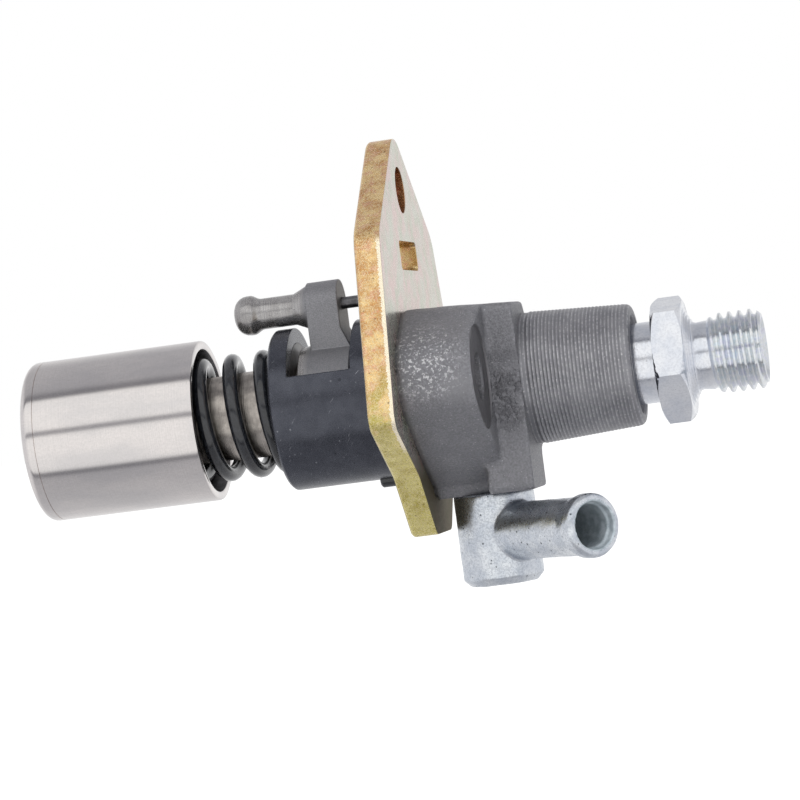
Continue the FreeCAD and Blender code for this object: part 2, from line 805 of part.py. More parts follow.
def cast_body():
    body = new_body("cast_body")
    corners = {
        "shoulder": ("Dim.ear_shoulder_y", "Dim.ear_top"),
        "upper": ("Dim.ear_side", "Dim.ear_upper_z"),
        "lower": ("Dim.ear_side", "Dim.ear_lower_z"),
        "waist": ("Dim.ear_waist_y", "Dim.ear_waist_z"),
        "hip": ("Dim.ear_hip_y", "Dim.ear_hip_z"),
        "foot": ("Dim.ear_foot_y", "Dim.ear_foot_z"),
    }
    ears = new_sketch(body, "YZ_Plane", "At.body_left")
    add_polygon(ears, mirrored(list(corners.values())))
    pad(body, ears, "Dim.ear_thickness")
    rounds = {
        "Dim.ear_shoulder_round": [(dim("ear_shoulder_y"), dim("ear_top"))],
        "Dim.ear_side_round": [
            (dim("ear_side"), dim("ear_upper_z")),
            (dim("ear_side"), dim("ear_lower_z")),
        ],
        "Dim.ear_waist_round": [(dim("ear_waist_y"), dim("ear_waist_z"))],
    }
    for radius, points in rounds.items():
        pairs = [corner(side * y, z) for y, z in points for side in (1, -1)]
        dress(
            body,
            "Fillet",
            lambda edge, pairs=pairs: any(test(edge) for test in pairs),
            radius,
        )
    dress(
        body,
        "Chamfer",
        lambda edge: close(edge.BoundBox.XMax, at("body_left")),
        "Dim.ear_back_chamfer",
    )
    block = new_sketch(body, "YZ_Plane", "At.block_left")
    add_polygon(
        block,
        [
            ("Dim.block_near", "Dim.ear_foot_z"),
            ("Dim.block_far", "Dim.ear_foot_z"),
            ("Dim.block_far", "Dim.ear_top"),
            ("Dim.block_near", "Dim.ear_top"),
        ],
    )
    pad(body, block, "At.core_right - At.block_left")
    edges = [
        corner(dim("block_near"), dim("ear_top")),
        corner(dim("block_near"), dim("ear_foot_z")),
        corner(dim("block_far"), dim("ear_foot_z")),
    ]
    dress(
        body,
        "Fillet",
        lambda edge: any(test(edge) for test in edges),
        "Dim.block_round",
    )
    dress(body, "Fillet", corner(dim("block_far"), dim("ear_top")), "Dim.block_far_round")
    core = new_sketch(body, "YZ_Plane", "At.body_left")
    add_circle(core, "Dim.core_outer")
    pad(body, core, "Dim.core_length")
    turn(
        body,
        [
            ("At.core_right - 1", "0"),
            ("At.core_right - 1", "Dim.cone_base / 2"),
            ("At.core_right", "Dim.cone_base / 2"),
            ("At.cone_right", "Dim.cone_tip / 2"),
            ("At.cone_right", "0"),
        ],
    )
    dress(body, "Chamfer", ring(at("cone_right"), dim("cone_tip")), "Dim.cone_chamfer")
    # bolt holes and the spot-faces round them
    holes = new_sketch(body, "YZ_Plane")
    spots = new_sketch(body, "YZ_Plane", "At.spot_floor")
    for side in ("Dim.side_hole_y", "-1 * Dim.side_hole_y"):
        add_circle(holes, "Dim.fixing_hole", side, "Dim.side_hole_z")
        add_circle(spots, "Dim.spot_face", side, "Dim.side_hole_z")
    pad(body, holes, "", "Pocket", both_ways=True, through=True)
    pad(body, spots, "Dim.core_length", "Pocket", reverse=True)
    # stepped bore, from the guide barrel's spigot to the outlet mouth
    turn(
        body,
        [
            ("At.body_left - 1", "0"),
            ("At.body_left - 1", "Dim.spigot_outer / 2 + Dim.fixed_gap"),
            ("At.spigot_end", "Dim.spigot_outer / 2 + Dim.fixed_gap"),
            ("At.spigot_end", "Dim.element_outer / 2 + Dim.fixed_gap"),
            ("At.element_shoulder", "Dim.element_outer / 2 + Dim.fixed_gap"),
            ("At.element_shoulder", "Dim.element_bore / 2"),
            ("At.gallery_left", "Dim.element_bore / 2"),
            ("At.gallery_left", "Dim.gallery_outer / 2"),
            ("At.gallery_right", "Dim.gallery_outer / 2"),
            ("At.gallery_right", "Dim.element_bore / 2"),
            ("At.mouth_left", "Dim.element_bore / 2"),
            ("At.mouth_left", "Dim.mouth_bore / 2"),
            ("At.cone_right + 1", "Dim.mouth_bore / 2"),
            ("At.cone_right + 1", "0"),
        ],
        "Groove",
    )
    # inlet: a seat for the elbow's spigot and a drilling up to the gallery
    seat = new_sketch(body, "XY_Plane", "Dim.ear_foot_z")
    add_circle(seat, "Dim.inlet_spigot + 2 * Dim.fixed_gap", "At.inlet_x", "0")
    pad(body, seat, "Dim.inlet_spigot_length", "Pocket", reverse=True)
    drilling = new_sketch(body, "XY_Plane", "Dim.ear_foot_z")
    add_circle(drilling, "Dim.inlet_drilling", "At.inlet_x", "0")
    pad(body, drilling, "-1 * Dim.ear_foot_z - Dim.element_bore / 2", "Pocket", reverse=True)
    pin_hole = new_sketch(body, "YZ_Plane", "At.body_left")
    add_circle(pin_hole, "Dim.locating_pin_outer + 2 * Dim.fixed_gap", "0", "Dim.locating_pin_z")
    pad(body, pin_hole, "Dim.locating_pin_seat", "Pocket", reverse=True)
    # blind hole for the pin that keeps the plunger barrel from turning
    index_hole = new_sketch(body, "YZ_Plane", "At.element_shoulder - Dim.index_pin_length / 2")
    add_circle(
        index_hole,
        "Dim.index_pin_outer + 2 * Dim.fixed_gap",
        "0",
        "At.index_z",
    )
    pad(body, index_hole, "Dim.index_pin_length / 2 + Dim.fixed_gap", "Pocket", reverse=True)
    return body


def plunger_barrel():
    body = new_body("plunger_barrel")
    head = "Dim.element_bore - 2 * Dim.fixed_gap"
    turn(
        body,
        [
            ("At.element_left", "Dim.plunger_outer / 2 + Dim.running_gap"),
            ("At.element_left", "Dim.element_outer / 2"),
            ("At.element_shoulder", "Dim.element_outer / 2"),
            ("At.element_shoulder", f"({head}) / 2"),
            ("At.gallery_left", f"({head}) / 2"),
            ("At.gallery_left", "Dim.element_waist / 2"),
            ("At.gallery_right", "Dim.element_waist / 2"),
            ("At.gallery_right", f"({head}) / 2"),
            ("At.element_right", f"({head}) / 2"),
            ("At.element_right", "Dim.plunger_outer / 2 + Dim.running_gap"),
        ],
    )
    port = new_sketch(body, "XZ_Plane")
    add_circle(port, "Dim.inlet_port", "(At.gallery_left + At.gallery_right) / 2", "0")
    pad(body, port, "", "Pocket", both_ways=True, through=True)
    pin_hole = new_sketch(body, "YZ_Plane", "At.element_shoulder")
    add_circle(
        pin_hole,
        "Dim.index_pin_outer + 2 * Dim.fixed_gap",
        "0",
        "At.index_z",
    )
    pad(body, pin_hole, "Dim.index_pin_length / 2 + Dim.fixed_gap", "Pocket", reverse=True)
    return body


def barrel_index_pin():
    body = new_body("barrel_index_pin")
    sketch = new_sketch(body, "YZ_Plane", "At.element_shoulder - Dim.index_pin_length / 2")
    add_circle(
        sketch,
        "Dim.index_pin_outer",
        "0",
        "At.index_z",
    )
    pad(body, sketch, "Dim.index_pin_length")
    return body


def delivery_valve_seat():
    body = new_body("delivery_valve_seat")
    flange = "(Dim.element_bore - 2 * Dim.fixed_gap) / 2"
    turn(
        body,
        [
            ("At.element_right", "Dim.valve_bore / 2"),
            ("At.element_right", flange),
            ("At.flange_right", flange),
            ("At.flange_right", "Dim.valve_seat_boss / 2"),
            ("At.valve_seat_right", "Dim.valve_seat_boss / 2"),
            ("At.valve_seat_right", "Dim.valve_head / 2"),
            ("At.valve_seat_right - Dim.valve_cone", "Dim.valve_bore / 2"),
        ],
    )
    return body


def delivery_valve():
    body = new_body("delivery_valve")
    turn(
        body,
        [
            ("At.valve_left", "0"),
            ("At.valve_left", "Dim.valve_guide / 4"),
            ("At.valve_head_left - Dim.valve_cone", "Dim.valve_guide / 4"),
            ("At.valve_head_left - Dim.valve_cone", "Dim.valve_guide / 2"),
            ("At.valve_head_left", "Dim.valve_head / 2 - Dim.valve_seat_gap"),
            ("At.valve_head_right", "Dim.valve_head / 2 - Dim.valve_seat_gap"),
            ("At.valve_head_right", "Dim.valve_stub / 2"),
            ("At.valve_right", "Dim.valve_stub / 2"),
            ("At.valve_right", "0"),
        ],
    )
    # four wings that guide the valve in its seat
    cross = new_sketch(body, "YZ_Plane", "At.valve_left")
    half = "Dim.wing_width / 2"
    span = "Dim.valve_guide / 2"
    wing_corners = [(half, half), (half, span), (f"-{half}", span), (f"-{half}", half)]
    wing_corners += [(f"-{span}", half), (f"-{span}", f"-{half}"), (f"-{half}", f"-{half}")]
    wing_corners += [(f"-{half}", f"-{span}"), (half, f"-{span}"), (half, f"-{half}")]
    wing_corners += [(span, f"-{half}"), (span, half)]
    add_polygon(cross, wing_corners)
    pad(body, cross, "At.valve_head_left - Dim.valve_cone - At.valve_left")
    return body


def valve_gasket():
    body = new_body("valve_gasket")
    outer = "Dim.element_bore - 2 * Dim.fixed_gap"
    inner = "Dim.valve_seat_boss + 2 * Dim.fixed_gap"
    turn(body, tube("At.flange_right", "At.holder_left", outer, inner))
    return body


def delivery_valve_holder():
    body = new_body("delivery_valve_holder")
    turn(
        body,
        stepped(
            ("At.holder_left", "Dim.element_bore - 2 * Dim.fixed_gap"),
            ("At.thread_right", "Dim.holder_neck"),
            ("At.hex_right", "Dim.undercut_outer"),
            ("At.undercut_right", "Dim.outlet_thread"),
            ("At.holder_right", ""),
        ),
    )
    thread_ends = [
        ring(at("holder_right"), dim("outlet_thread")),
        ring(at("undercut_right"), dim("outlet_thread")),
    ]
    dress(
        body,
        "Chamfer",
        lambda edge: any(end(edge) for end in thread_ends),
        "Dim.outlet_chamfer",
    )
    hexagon = new_sketch(body, "YZ_Plane", "At.hex_left")
    radius = "Dim.hex_across / 2 / cos(30 deg)"
    angles = [f"(Dim.hex_turn + {60 * i}) * 1 deg" for i in range(6)]
    add_polygon(
        hexagon,
        [(f"-1 * {radius} * cos({a} + 30 deg)", f"{radius} * sin({a} + 30 deg)") for a in angles],
    )
    pad(body, hexagon, "Dim.hex_thickness")
    # thirty-degree chamfers on both faces of the hexagon
    flat = "Dim.hex_across / 2"
    beyond = "Dim.hex_across / 2 / cos(30 deg) + 1"
    rise = f"({beyond} - {flat}) * tan(30 deg)"
    turn(body, [("At.hex_left", flat), ("At.hex_left", beyond), (f"At.hex_left + {rise}", beyond)], "Groove")
    turn(body, [("At.hex_right", flat), (f"At.hex_right - {rise}", beyond), ("At.hex_right", beyond)], "Groove")
    turn(
        body,
        [
            ("At.holder_left - 1", "0"),
            ("At.holder_left - 1", "Dim.holder_cavity / 2"),
            ("At.cavity_right", "Dim.holder_cavity / 2"),
            ("At.cavity_right", "Dim.outlet_bore / 2"),
            ("At.holder_right - Dim.outlet_cone_depth", "Dim.outlet_bore / 2"),
            ("At.holder_right", "Dim.outlet_cone / 2"),
            ("At.holder_right + 1", "Dim.outlet_cone / 2"),
            ("At.holder_right + 1", "0"),
        ],
        "Groove",
    )
    return body


def holder_o_ring():
    body = new_body("holder_o_ring")
    thick = "(Dim.mouth_bore - Dim.holder_neck) / 4"
    middle = "(Dim.mouth_bore + Dim.holder_neck) / 4"
    reach = f"({thick} - Dim.fixed_gap)"
    sides = round(dim("section_sides"))
    corners = []
    for side in range(sides):
        turned = f"({side} * 360 / Dim.section_sides) * 1 deg"
        corners.append(
            (f"At.mouth_left + {thick} + {reach} * cos({turned})", f"{middle} + {reach} * sin({turned})")
        )
    turn(body, corners)
    return body


def inlet_elbow():
    body = new_body("inlet_elbow")
    side = "At.inlet_x + Dim.stub_outer / 2"
    spigot_top = "Dim.ear_foot_z + Dim.inlet_spigot_length"
    turn(
        body,
        [
            ("At.inlet_x", "At.stub_bottom"),
            (side, "At.stub_bottom"),
            (side, "Dim.ear_foot_z"),
            ("At.inlet_x + Dim.inlet_spigot / 2", "Dim.ear_foot_z"),
            ("At.inlet_x + Dim.inlet_spigot / 2", spigot_top),
            ("At.inlet_x", spigot_top),
        ],
        axis=[("At.inlet_x", "At.stub_bottom"), ("At.inlet_x", spigot_top)],
    )
    dress(
        body,
        "Chamfer",
        lambda edge: close(edge.BoundBox.ZMax, at("stub_bottom")),
        "Dim.stub_chamfer",
    )
    tube_profile(
        body,
        [
            ("0", "0"),
            ("0", "Dim.tube_outer / 2"),
            ("Dim.tube_reach - Dim.bead_lead - Dim.bead_width - Dim.bead_ramp", "Dim.tube_outer / 2"),
            ("Dim.tube_reach - Dim.bead_lead - Dim.bead_width", "Dim.bead_outer / 2"),
            ("Dim.tube_reach - Dim.bead_lead", "Dim.bead_outer / 2"),
            ("Dim.tube_reach", "Dim.tube_outer / 2"),
            ("Dim.tube_reach", "0"),
        ],
        "Revolution",
    )
    tube_profile(
        body,
        [
            ("0", "0"),
            ("0", "Dim.tube_bore / 2"),
            ("Dim.tube_reach - Dim.tube_mouth_depth", "Dim.tube_bore / 2"),
            ("Dim.tube_reach - Dim.tube_mouth_depth", "Dim.tube_mouth / 2"),
            ("Dim.tube_reach + 1", "Dim.tube_mouth / 2"),
            ("Dim.tube_reach + 1", "0"),
        ],
        "Groove",
    )
    bore = new_sketch(body, "XY_Plane", "At.tube_z - Dim.inlet_spigot_bore / 2")
    add_circle(bore, "Dim.inlet_spigot_bore", "At.inlet_x", "0")
    pad(body, bore, "2 * Dim.stub_length", "Pocket", reverse=True)
    return body


def tube_profile(body, corners, kind):
    """Turned form about the inlet tube's axis, which leaves the stub level and to the side."""
    sketch = new_sketch(body, "XZ_Plane")
    sketch.AttachmentOffset = Placement(Vector(0, 0, 0), Rotation(Vector(0, 1, 0), -dim("tube_turn")))
    sketch.setExpression("AttachmentOffset.Base.x", "At.inlet_x")
    sketch.setExpression("AttachmentOffset.Base.y", "At.tube_z")
    sketch.setExpression("AttachmentOffset.Rotation.Angle", "-1 * Dim.tube_turn * 1 deg")
    add_polygon(sketch, corners)
    feature = body.newObject(f"PartDesign::{kind}", f"{body.Name}_tube")
    feature.Profile = sketch
    feature.ReferenceAxis = (sketch, ["H_Axis"])
    feature.Angle = 360
    return finish(body, feature, cuts=kind == "Groove")


def plunger_spring():
    return coil(
        "plunger_spring",
        at("spring_left"),
        at("spring_right"),
        dim("spring_outer"),
        dim("spring_wire"),
        dim("spring_pitch"),
        dim("spring_tip_turn"),
    )


def valve_spring():
    return coil(
        "valve_spring",
        at("valve_head_right"),
        at("cavity_right"),
        dim("valve_spring_outer"),
        dim("valve_spring_wire"),
        dim("valve_spring_pitch"),
        dim("valve_spring_tip_turn"),
    )


subparts = [
    make()
    for make in (
        tappet,
        adjusting_shim,
        lower_spring_seat,
        plunger,
        plunger_spring,
        upper_spring_seat,
        guide_barrel,
        locating_pin,
        control_sleeve,
        control_arm,
        arm_pin,
        mounting_plate,
        cast_body,
        plunger_barrel,
        barrel_index_pin,
        delivery_valve_seat,
        delivery_valve,
        valve_spring,
        valve_gasket,
        delivery_valve_holder,
        holder_o_ring,
        inlet_elbow,
    )
]
doc.recompute()

for item in doc.Objects:
    if {"Invalid", "Error"} & set(item.State):
        raise RuntimeError(f"{item.Name} is in state {item.State}")
for item in subparts:
    if item.Shape.isNull() or not item.Shape.isValid() or len(item.Shape.Solids) != 1:
        raise RuntimeError(f"{item.Label} isn't one sound solid")

os.makedirs("parts", exist_ok=True)
for item in subparts:
    item.Shape.exportStep(os.path.join("parts", f"{item.Label}.step"))
    print(f"{item.Label}: {item.Shape.Volume:.1f} mm3, {len(item.Shape.Faces)} faces")
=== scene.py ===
import math

import bmesh
import bpy
from mathutils import Matrix, Vector, noise


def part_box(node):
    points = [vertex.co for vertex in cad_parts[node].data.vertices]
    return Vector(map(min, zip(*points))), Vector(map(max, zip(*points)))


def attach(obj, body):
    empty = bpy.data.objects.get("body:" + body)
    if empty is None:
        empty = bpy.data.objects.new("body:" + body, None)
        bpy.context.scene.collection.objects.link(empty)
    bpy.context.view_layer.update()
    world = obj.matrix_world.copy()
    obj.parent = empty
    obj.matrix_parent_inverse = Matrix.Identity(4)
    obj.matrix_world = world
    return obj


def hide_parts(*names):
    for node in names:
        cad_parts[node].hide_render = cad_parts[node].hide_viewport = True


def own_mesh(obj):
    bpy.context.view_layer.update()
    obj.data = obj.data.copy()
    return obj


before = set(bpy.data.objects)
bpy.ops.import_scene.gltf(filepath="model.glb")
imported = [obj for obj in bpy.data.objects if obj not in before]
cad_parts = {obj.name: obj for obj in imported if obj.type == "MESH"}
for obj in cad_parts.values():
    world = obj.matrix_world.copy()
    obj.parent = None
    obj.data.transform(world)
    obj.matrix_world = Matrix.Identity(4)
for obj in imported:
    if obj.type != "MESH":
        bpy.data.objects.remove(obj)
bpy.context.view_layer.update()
mm = 0.001
print("frame loaded:", len(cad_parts), "nodes")


# small helpers for picking and editing

def pickOnly(obj):
    if bpy.context.object and bpy.context.object.mode != "OBJECT":
        bpy.ops.object.mode_set(mode="OBJECT")
    bpy.ops.object.select_all(action="DESELECT")
    obj.select_set(True)
    bpy.context.view_layer.objects.active = obj


def editPick(obj, kind, test):
    # leaves the object in edit mode with only the wanted parts selected
    pickOnly(obj)
    bpy.ops.object.mode_set(mode="EDIT")
    bpy.ops.mesh.select_mode(type=kind)
    bpy.ops.mesh.select_all(action="DESELECT")
    shape = bmesh.from_edit_mesh(obj.data)
    parts = {"VERT": shape.verts, "EDGE": shape.edges, "FACE": shape.faces}[kind]
    for part in parts:
        if test(part):
            part.select_set(True)
    shape.select_flush_mode()
    bmesh.update_edit_mesh(obj.data)


def leaveEdit():
    bpy.ops.object.mode_set(mode="OBJECT")


def addModifier(obj, kind, **settings):
    pickOnly(obj)
    modifier = obj.modifiers.new(kind.title(), kind)
    for key, value in settings.items():
        setattr(modifier, key, value)
    bpy.ops.object.modifier_apply(modifier=modifier.name)


def boolean(obj, tool, operation):
    addModifier(obj, "BOOLEAN", object=tool, operation=operation, solver="EXACT")
    bpy.data.objects.remove(tool)


def newObject(name, data):
    obj = bpy.data.objects.new(name, data)
    bpy.context.collection.objects.link(obj)
    return obj


def tidyMesh(obj, gap=0.0005):
    pickOnly(obj)
    bpy.ops.object.mode_set(mode="EDIT")
    bpy.ops.mesh.select_all(action="SELECT")
    bpy.ops.mesh.remove_doubles(threshold=gap * mm)
    bpy.ops.mesh.dissolve_degenerate(threshold=gap * mm)
    bpy.ops.mesh.normals_make_consistent(inside=False)
    leaveEdit()


def shade(obj, angle):
    pickOnly(obj)
    bpy.ops.object.shade_smooth_by_angle(angle=math.radians(angle))


def trueFlats(obj):
    # large faces keep their own direction, and only the eased edges turn
    addModifier(obj, "WEIGHTED_NORMAL", mode="FACE_AREA", weight=100, keep_sharp=True)


def raiseBy(obj, height):
    for vertex in obj.data.vertices:
        vertex.co.z += height * mm


def quarterTurn(steps=6):
    return [math.radians(90 * step / steps) for step in range(steps + 1)]


def lathe(name, profile, steps):
    # profile: (x, radius) in millimetres, spun about the pump's axis
    mesh = bpy.data.meshes.new(name)
    points = [(x * mm, 0, r * mm) for x, r in profile]
    closed = profile[0][1] > 0 and profile[-1][1] > 0
    edges = [(i, i + 1) for i in range(len(points) - 1)]
    if closed:
        edges.append((len(points) - 1, 0))
    mesh.from_pydata(points, edges, [])
    obj = newObject(name, mesh)
    pickOnly(obj)
    bpy.ops.object.mode_set(mode="EDIT")
    bpy.ops.mesh.select_all(action="SELECT")
    bpy.ops.mesh.spin(steps=steps, angle=2 * math.pi, center=(0, 0, 0), axis=(1, 0, 0))
    leaveEdit()
    tidyMesh(obj)
    return obj


def copyNode(node, name):
    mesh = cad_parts[node].data.copy()
    mesh.materials.clear()
    obj = newObject(name, mesh)
    pickOnly(obj)
    bpy.ops.mesh.customdata_custom_splitnormals_clear()
    bpy.ops.object.mode_set(mode="EDIT")
    bpy.ops.mesh.select_all(action="SELECT")
    bpy.ops.mesh.remove_doubles(threshold=0.002 * mm)
    bpy.ops.mesh.dissolve_limited(angle_limit=math.radians(0.6))
    leaveEdit()
    return obj


def easeEdges(obj, width, segments=2, angle=28):
    addModifier(
        obj, "BEVEL", width=width * mm, segments=segments, limit_method="ANGLE",
        angle_limit=math.radians(angle), use_clamp_overlap=False, miter_outer="MITER_ARC",
    )


def easedCopy(node, name, width, angle=28):
    # the node's own form with its sharp edges broken, as deburring leaves them
    obj = copyNode(node, name)
    easeEdges(obj, width, angle=angle)
    shade(obj, 40)
    trueFlats(obj)
    return obj


def roughen(obj, sizes):
    # a fine even mesh, pushed in and out a little as a rough skin is
    addModifier(obj, "REMESH", mode="VOXEL", voxel_size=sizes["voxel"] * mm)
    shape = bmesh.new()
    shape.from_mesh(obj.data)
    shape.normal_update()
    for vertex in shape.verts:
        wave = noise.noise(vertex.co / (sizes["rippleSize"] * mm))
        vertex.co += vertex.normal * wave * sizes["ripple"] * mm
    shape.to_mesh(obj.data)
    shape.free()


def soften(obj, test, passes, finePasses):
    # smooths the picked vertices, then all of them a little
    editPick(obj, "VERT", test)
    bpy.ops.mesh.vertices_smooth(factor=0.6, repeat=passes)
    bpy.ops.mesh.select_all(action="SELECT")
    bpy.ops.mesh.vertices_smooth(factor=0.5, repeat=finePasses)
    leaveEdit()


def dress(obj, material, body, slot, *nodes):
    obj.data.materials.clear()
    obj.data.materials.append(material)
    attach(obj, body)
    if nodes:
        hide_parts(*nodes)
    return obj


# node helpers for the finishes

def tone(red, green, blue):
    # a colour as a screen shows it, from 0 to 255, made linear
    def linear(value):
        value /= 255
        return value / 12.92 if value <= 0.04045 else ((value + 0.055) / 1.055) ** 2.4
    return (linear(red), linear(green), linear(blue), 1)


def addNode(tree, kind, inputs=None, **settings):
    made = tree.nodes.new(kind)
    for key, value in settings.items():
        setattr(made, key, value)
    for socket, value in (inputs or {}).items():
        if isinstance(value, bpy.types.NodeSocket):
            tree.links.new(value, made.inputs[socket])
        else:
            made.inputs[socket].default_value = value
    return made


def doMath(tree, operation, *values, clamp=False):
    inputs = dict(enumerate(values))
    return addNode(tree, "ShaderNodeMath", inputs, operation=operation, use_clamp=clamp).outputs[0]


def blendColors(tree, factor, first, second, mode="MIX"):
    inputs = {0: factor, 6: first, 7: second}
    return addNode(tree, "ShaderNodeMix", inputs, data_type="RGBA", blend_type=mode).outputs[2]


def remap(tree, value, low, high, newLow=0.0, newHigh=1.0, smooth=True):
    kind = "SMOOTHSTEP" if smooth else "LINEAR"
    inputs = {"Value": value, "From Min": low, "From Max": high, "To Min": newLow, "To Max": newHigh}
    return addNode(tree, "ShaderNodeMapRange", inputs, interpolation_type=kind).outputs[0]


def newGroup(name, inputs, outputs):
    tree = bpy.data.node_groups.new(name, "ShaderNodeTree")
    for label, value in inputs.items():
        kind = "NodeSocketVector" if isinstance(value, tuple) else "NodeSocketFloat"
        tree.interface.new_socket(name=label, in_out="INPUT", socket_type=kind).default_value = value
    for label in outputs:
        tree.interface.new_socket(name=label, in_out="OUTPUT", socket_type="NodeSocketFloat")
    return tree, tree.nodes.new("NodeGroupInput"), tree.nodes.new("NodeGroupOutput")


def useGroup(tree, group, point, **inputs):
    return addNode(tree, "ShaderNodeGroup", {"Point": point, **inputs}, node_tree=group).outputs[0]


def splitPoint(tree, point):
    return addNode(tree, "ShaderNodeSeparateXYZ", {0: point}).outputs


def times(tree, first, second):
    return doMath(tree, "MULTIPLY", first, second)


def layer(tree, base, mask, amount, color):
    # lays a colour over the base where the mask is, by a share
    return blendColors(tree, times(tree, mask, amount), base, color)


# surface effects that several finishes share; lengths are in millimetres

def makeGrain():
    # soft random tone, stretched along X by Stretch
    inputs = {
        "Point": (0.0, 0.0, 0.0), "Size": 0.5, "Stretch": 1.0, "Detail": 3.0, "Low": 0.35, "High": 0.65,
    }
    tree, start, end = newGroup("grain", inputs, ["Value"])
    longSize = times(tree, start.outputs["Size"], start.outputs["Stretch"])
    parts = splitPoint(tree, start.outputs["Point"])
    point = addNode(tree, "ShaderNodeCombineXYZ", {
        0: doMath(tree, "DIVIDE", parts[0], longSize),
        1: doMath(tree, "DIVIDE", parts[1], start.outputs["Size"]),
        2: doMath(tree, "DIVIDE", parts[2], start.outputs["Size"]),
    })
    cloud = addNode(tree, "ShaderNodeTexNoise", {
        "Vector": point.outputs[0], "Scale": 1.0, "Detail": start.outputs["Detail"], "Roughness": 0.6,
    })
    value = remap(tree, cloud.outputs["Fac"], start.outputs["Low"], start.outputs["High"])
    tree.links.new(value, end.inputs["Value"])
    return tree


def makeSpecks():
    # small round marks, one to a cell at most; Amount is the share of cells that have one
    inputs = {"Point": (0.0, 0.0, 0.0), "Spacing": 1.0, "Radius": 0.2, "Amount": 0.3}
    tree, start, end = newGroup("specks", inputs, ["Mask"])
    point = addNode(tree, "ShaderNodeVectorMath", {
        0: start.outputs["Point"], "Scale": doMath(tree, "DIVIDE", 1.0, start.outputs["Spacing"]),
    }, operation="SCALE")
    wobble = addNode(tree, "ShaderNodeTexNoise", {"Vector": point.outputs[0], "Scale": 6.0, "Detail": 2.0})
    cells = addNode(tree, "ShaderNodeTexVoronoi", {"Vector": point.outputs[0], "Scale": 1.0})
    chance = addNode(tree, "ShaderNodeSeparateColor", {0: cells.outputs["Color"]})
    present = doMath(tree, "LESS_THAN", chance.outputs[0], start.outputs["Amount"])
    reach = doMath(tree, "DIVIDE", start.outputs["Radius"], start.outputs["Spacing"])
    uneven = times(tree, reach, doMath(tree, "ADD", 0.4, chance.outputs[1]))
    distance = times(tree, cells.outputs["Distance"], doMath(tree, "ADD", 0.4, wobble.outputs["Fac"]))
    inside = remap(tree, doMath(tree, "DIVIDE", distance, uneven), 1.15, 0.7)
    tree.links.new(times(tree, inside, present), end.inputs["Mask"])
    return tree


def makeTurning():
    # fine rings about the pump's axis, as a lathe tool leaves them
    inputs = {"Point": (0.0, 0.0, 0.0), "Pitch": 0.2, "Along": (1.0, 0.0, 0.0)}
    tree, start, end = newGroup("turning", inputs, ["Value"])
    along = addNode(tree, "ShaderNodeVectorMath", {0: start.outputs["Point"], 1: start.outputs["Along"]},
                    operation="DOT_PRODUCT")
    place = doMath(tree, "DIVIDE", along.outputs["Value"], start.outputs["Pitch"])
    settings = {"W": place, "Scale": 1.0, "Detail": 2.0}
    rings = addNode(tree, "ShaderNodeTexNoise", settings, noise_dimensions="1D")
    tree.links.new(remap(tree, rings.outputs["Fac"], 0.3, 0.7), end.inputs["Value"])
    return tree


def makeStreaks():
    # thin scattered scratches that run along one direction
    inputs = {"Point": (0.0, 0.0, 0.0), "Length": 6.0, "Width": 0.15, "Amount": 0.3, "Turn": 0.0}
    tree, start, end = newGroup("streaks", inputs, ["Mask"])
    turned = addNode(tree, "ShaderNodeVectorRotate", {
        "Vector": start.outputs["Point"], "Axis": (0.3, 1.0, 0.2), "Angle": start.outputs["Turn"],
    }, rotation_type="AXIS_ANGLE")
    parts = splitPoint(tree, turned.outputs[0])
    point = addNode(tree, "ShaderNodeCombineXYZ", {
        0: doMath(tree, "DIVIDE", parts[0], start.outputs["Length"]),
        1: doMath(tree, "DIVIDE", parts[1], start.outputs["Length"]),
        2: doMath(tree, "DIVIDE", parts[2], start.outputs["Width"]),
    })
    cloud = addNode(tree, "ShaderNodeTexNoise", {"Vector": point.outputs[0], "Scale": 1.0, "Detail": 1.0})
    edge = doMath(tree, "SUBTRACT", 0.9, times(tree, start.outputs["Amount"], 0.4))
    mask = remap(tree, cloud.outputs["Fac"], edge, doMath(tree, "ADD", edge, 0.04))
    tree.links.new(mask, end.inputs["Mask"])
    return tree


grain = makeGrain()
specks = makeSpecks()
turning = makeTurning()
streaks = makeStreaks()


def newFinish(name, **settings):
    material = bpy.data.materials.new(name)
    material.use_nodes = True
    tree = material.node_tree
    shader = tree.nodes["Principled BSDF"]
    for label, value in settings.items():
        shader.inputs[label.replace("_", " ")].default_value = value
    place = addNode(tree, "ShaderNodeTexCoord").outputs["Object"]
    point = addNode(tree, "ShaderNodeVectorMath", {0: place, "Scale": 1000.0}, operation="SCALE")
    return material, tree, shader, point.outputs[0]


def setSurface(tree, shader, color, source, low, high):
    # roughness runs from low to high with the source
    tree.links.new(color, shader.inputs["Base Color"])
    tree.links.new(remap(tree, source, 0, 1, low, high, False), shader.inputs["Roughness"])


def setBump(tree, shader, height, depth):
    # depth in millimetres for a height of 0 to 1
    bump = addNode(tree, "ShaderNodeBump", {"Height": height, "Strength": 1.0, "Distance": depth * mm})
    tree.links.new(bump.outputs[0], shader.inputs["Normal"])


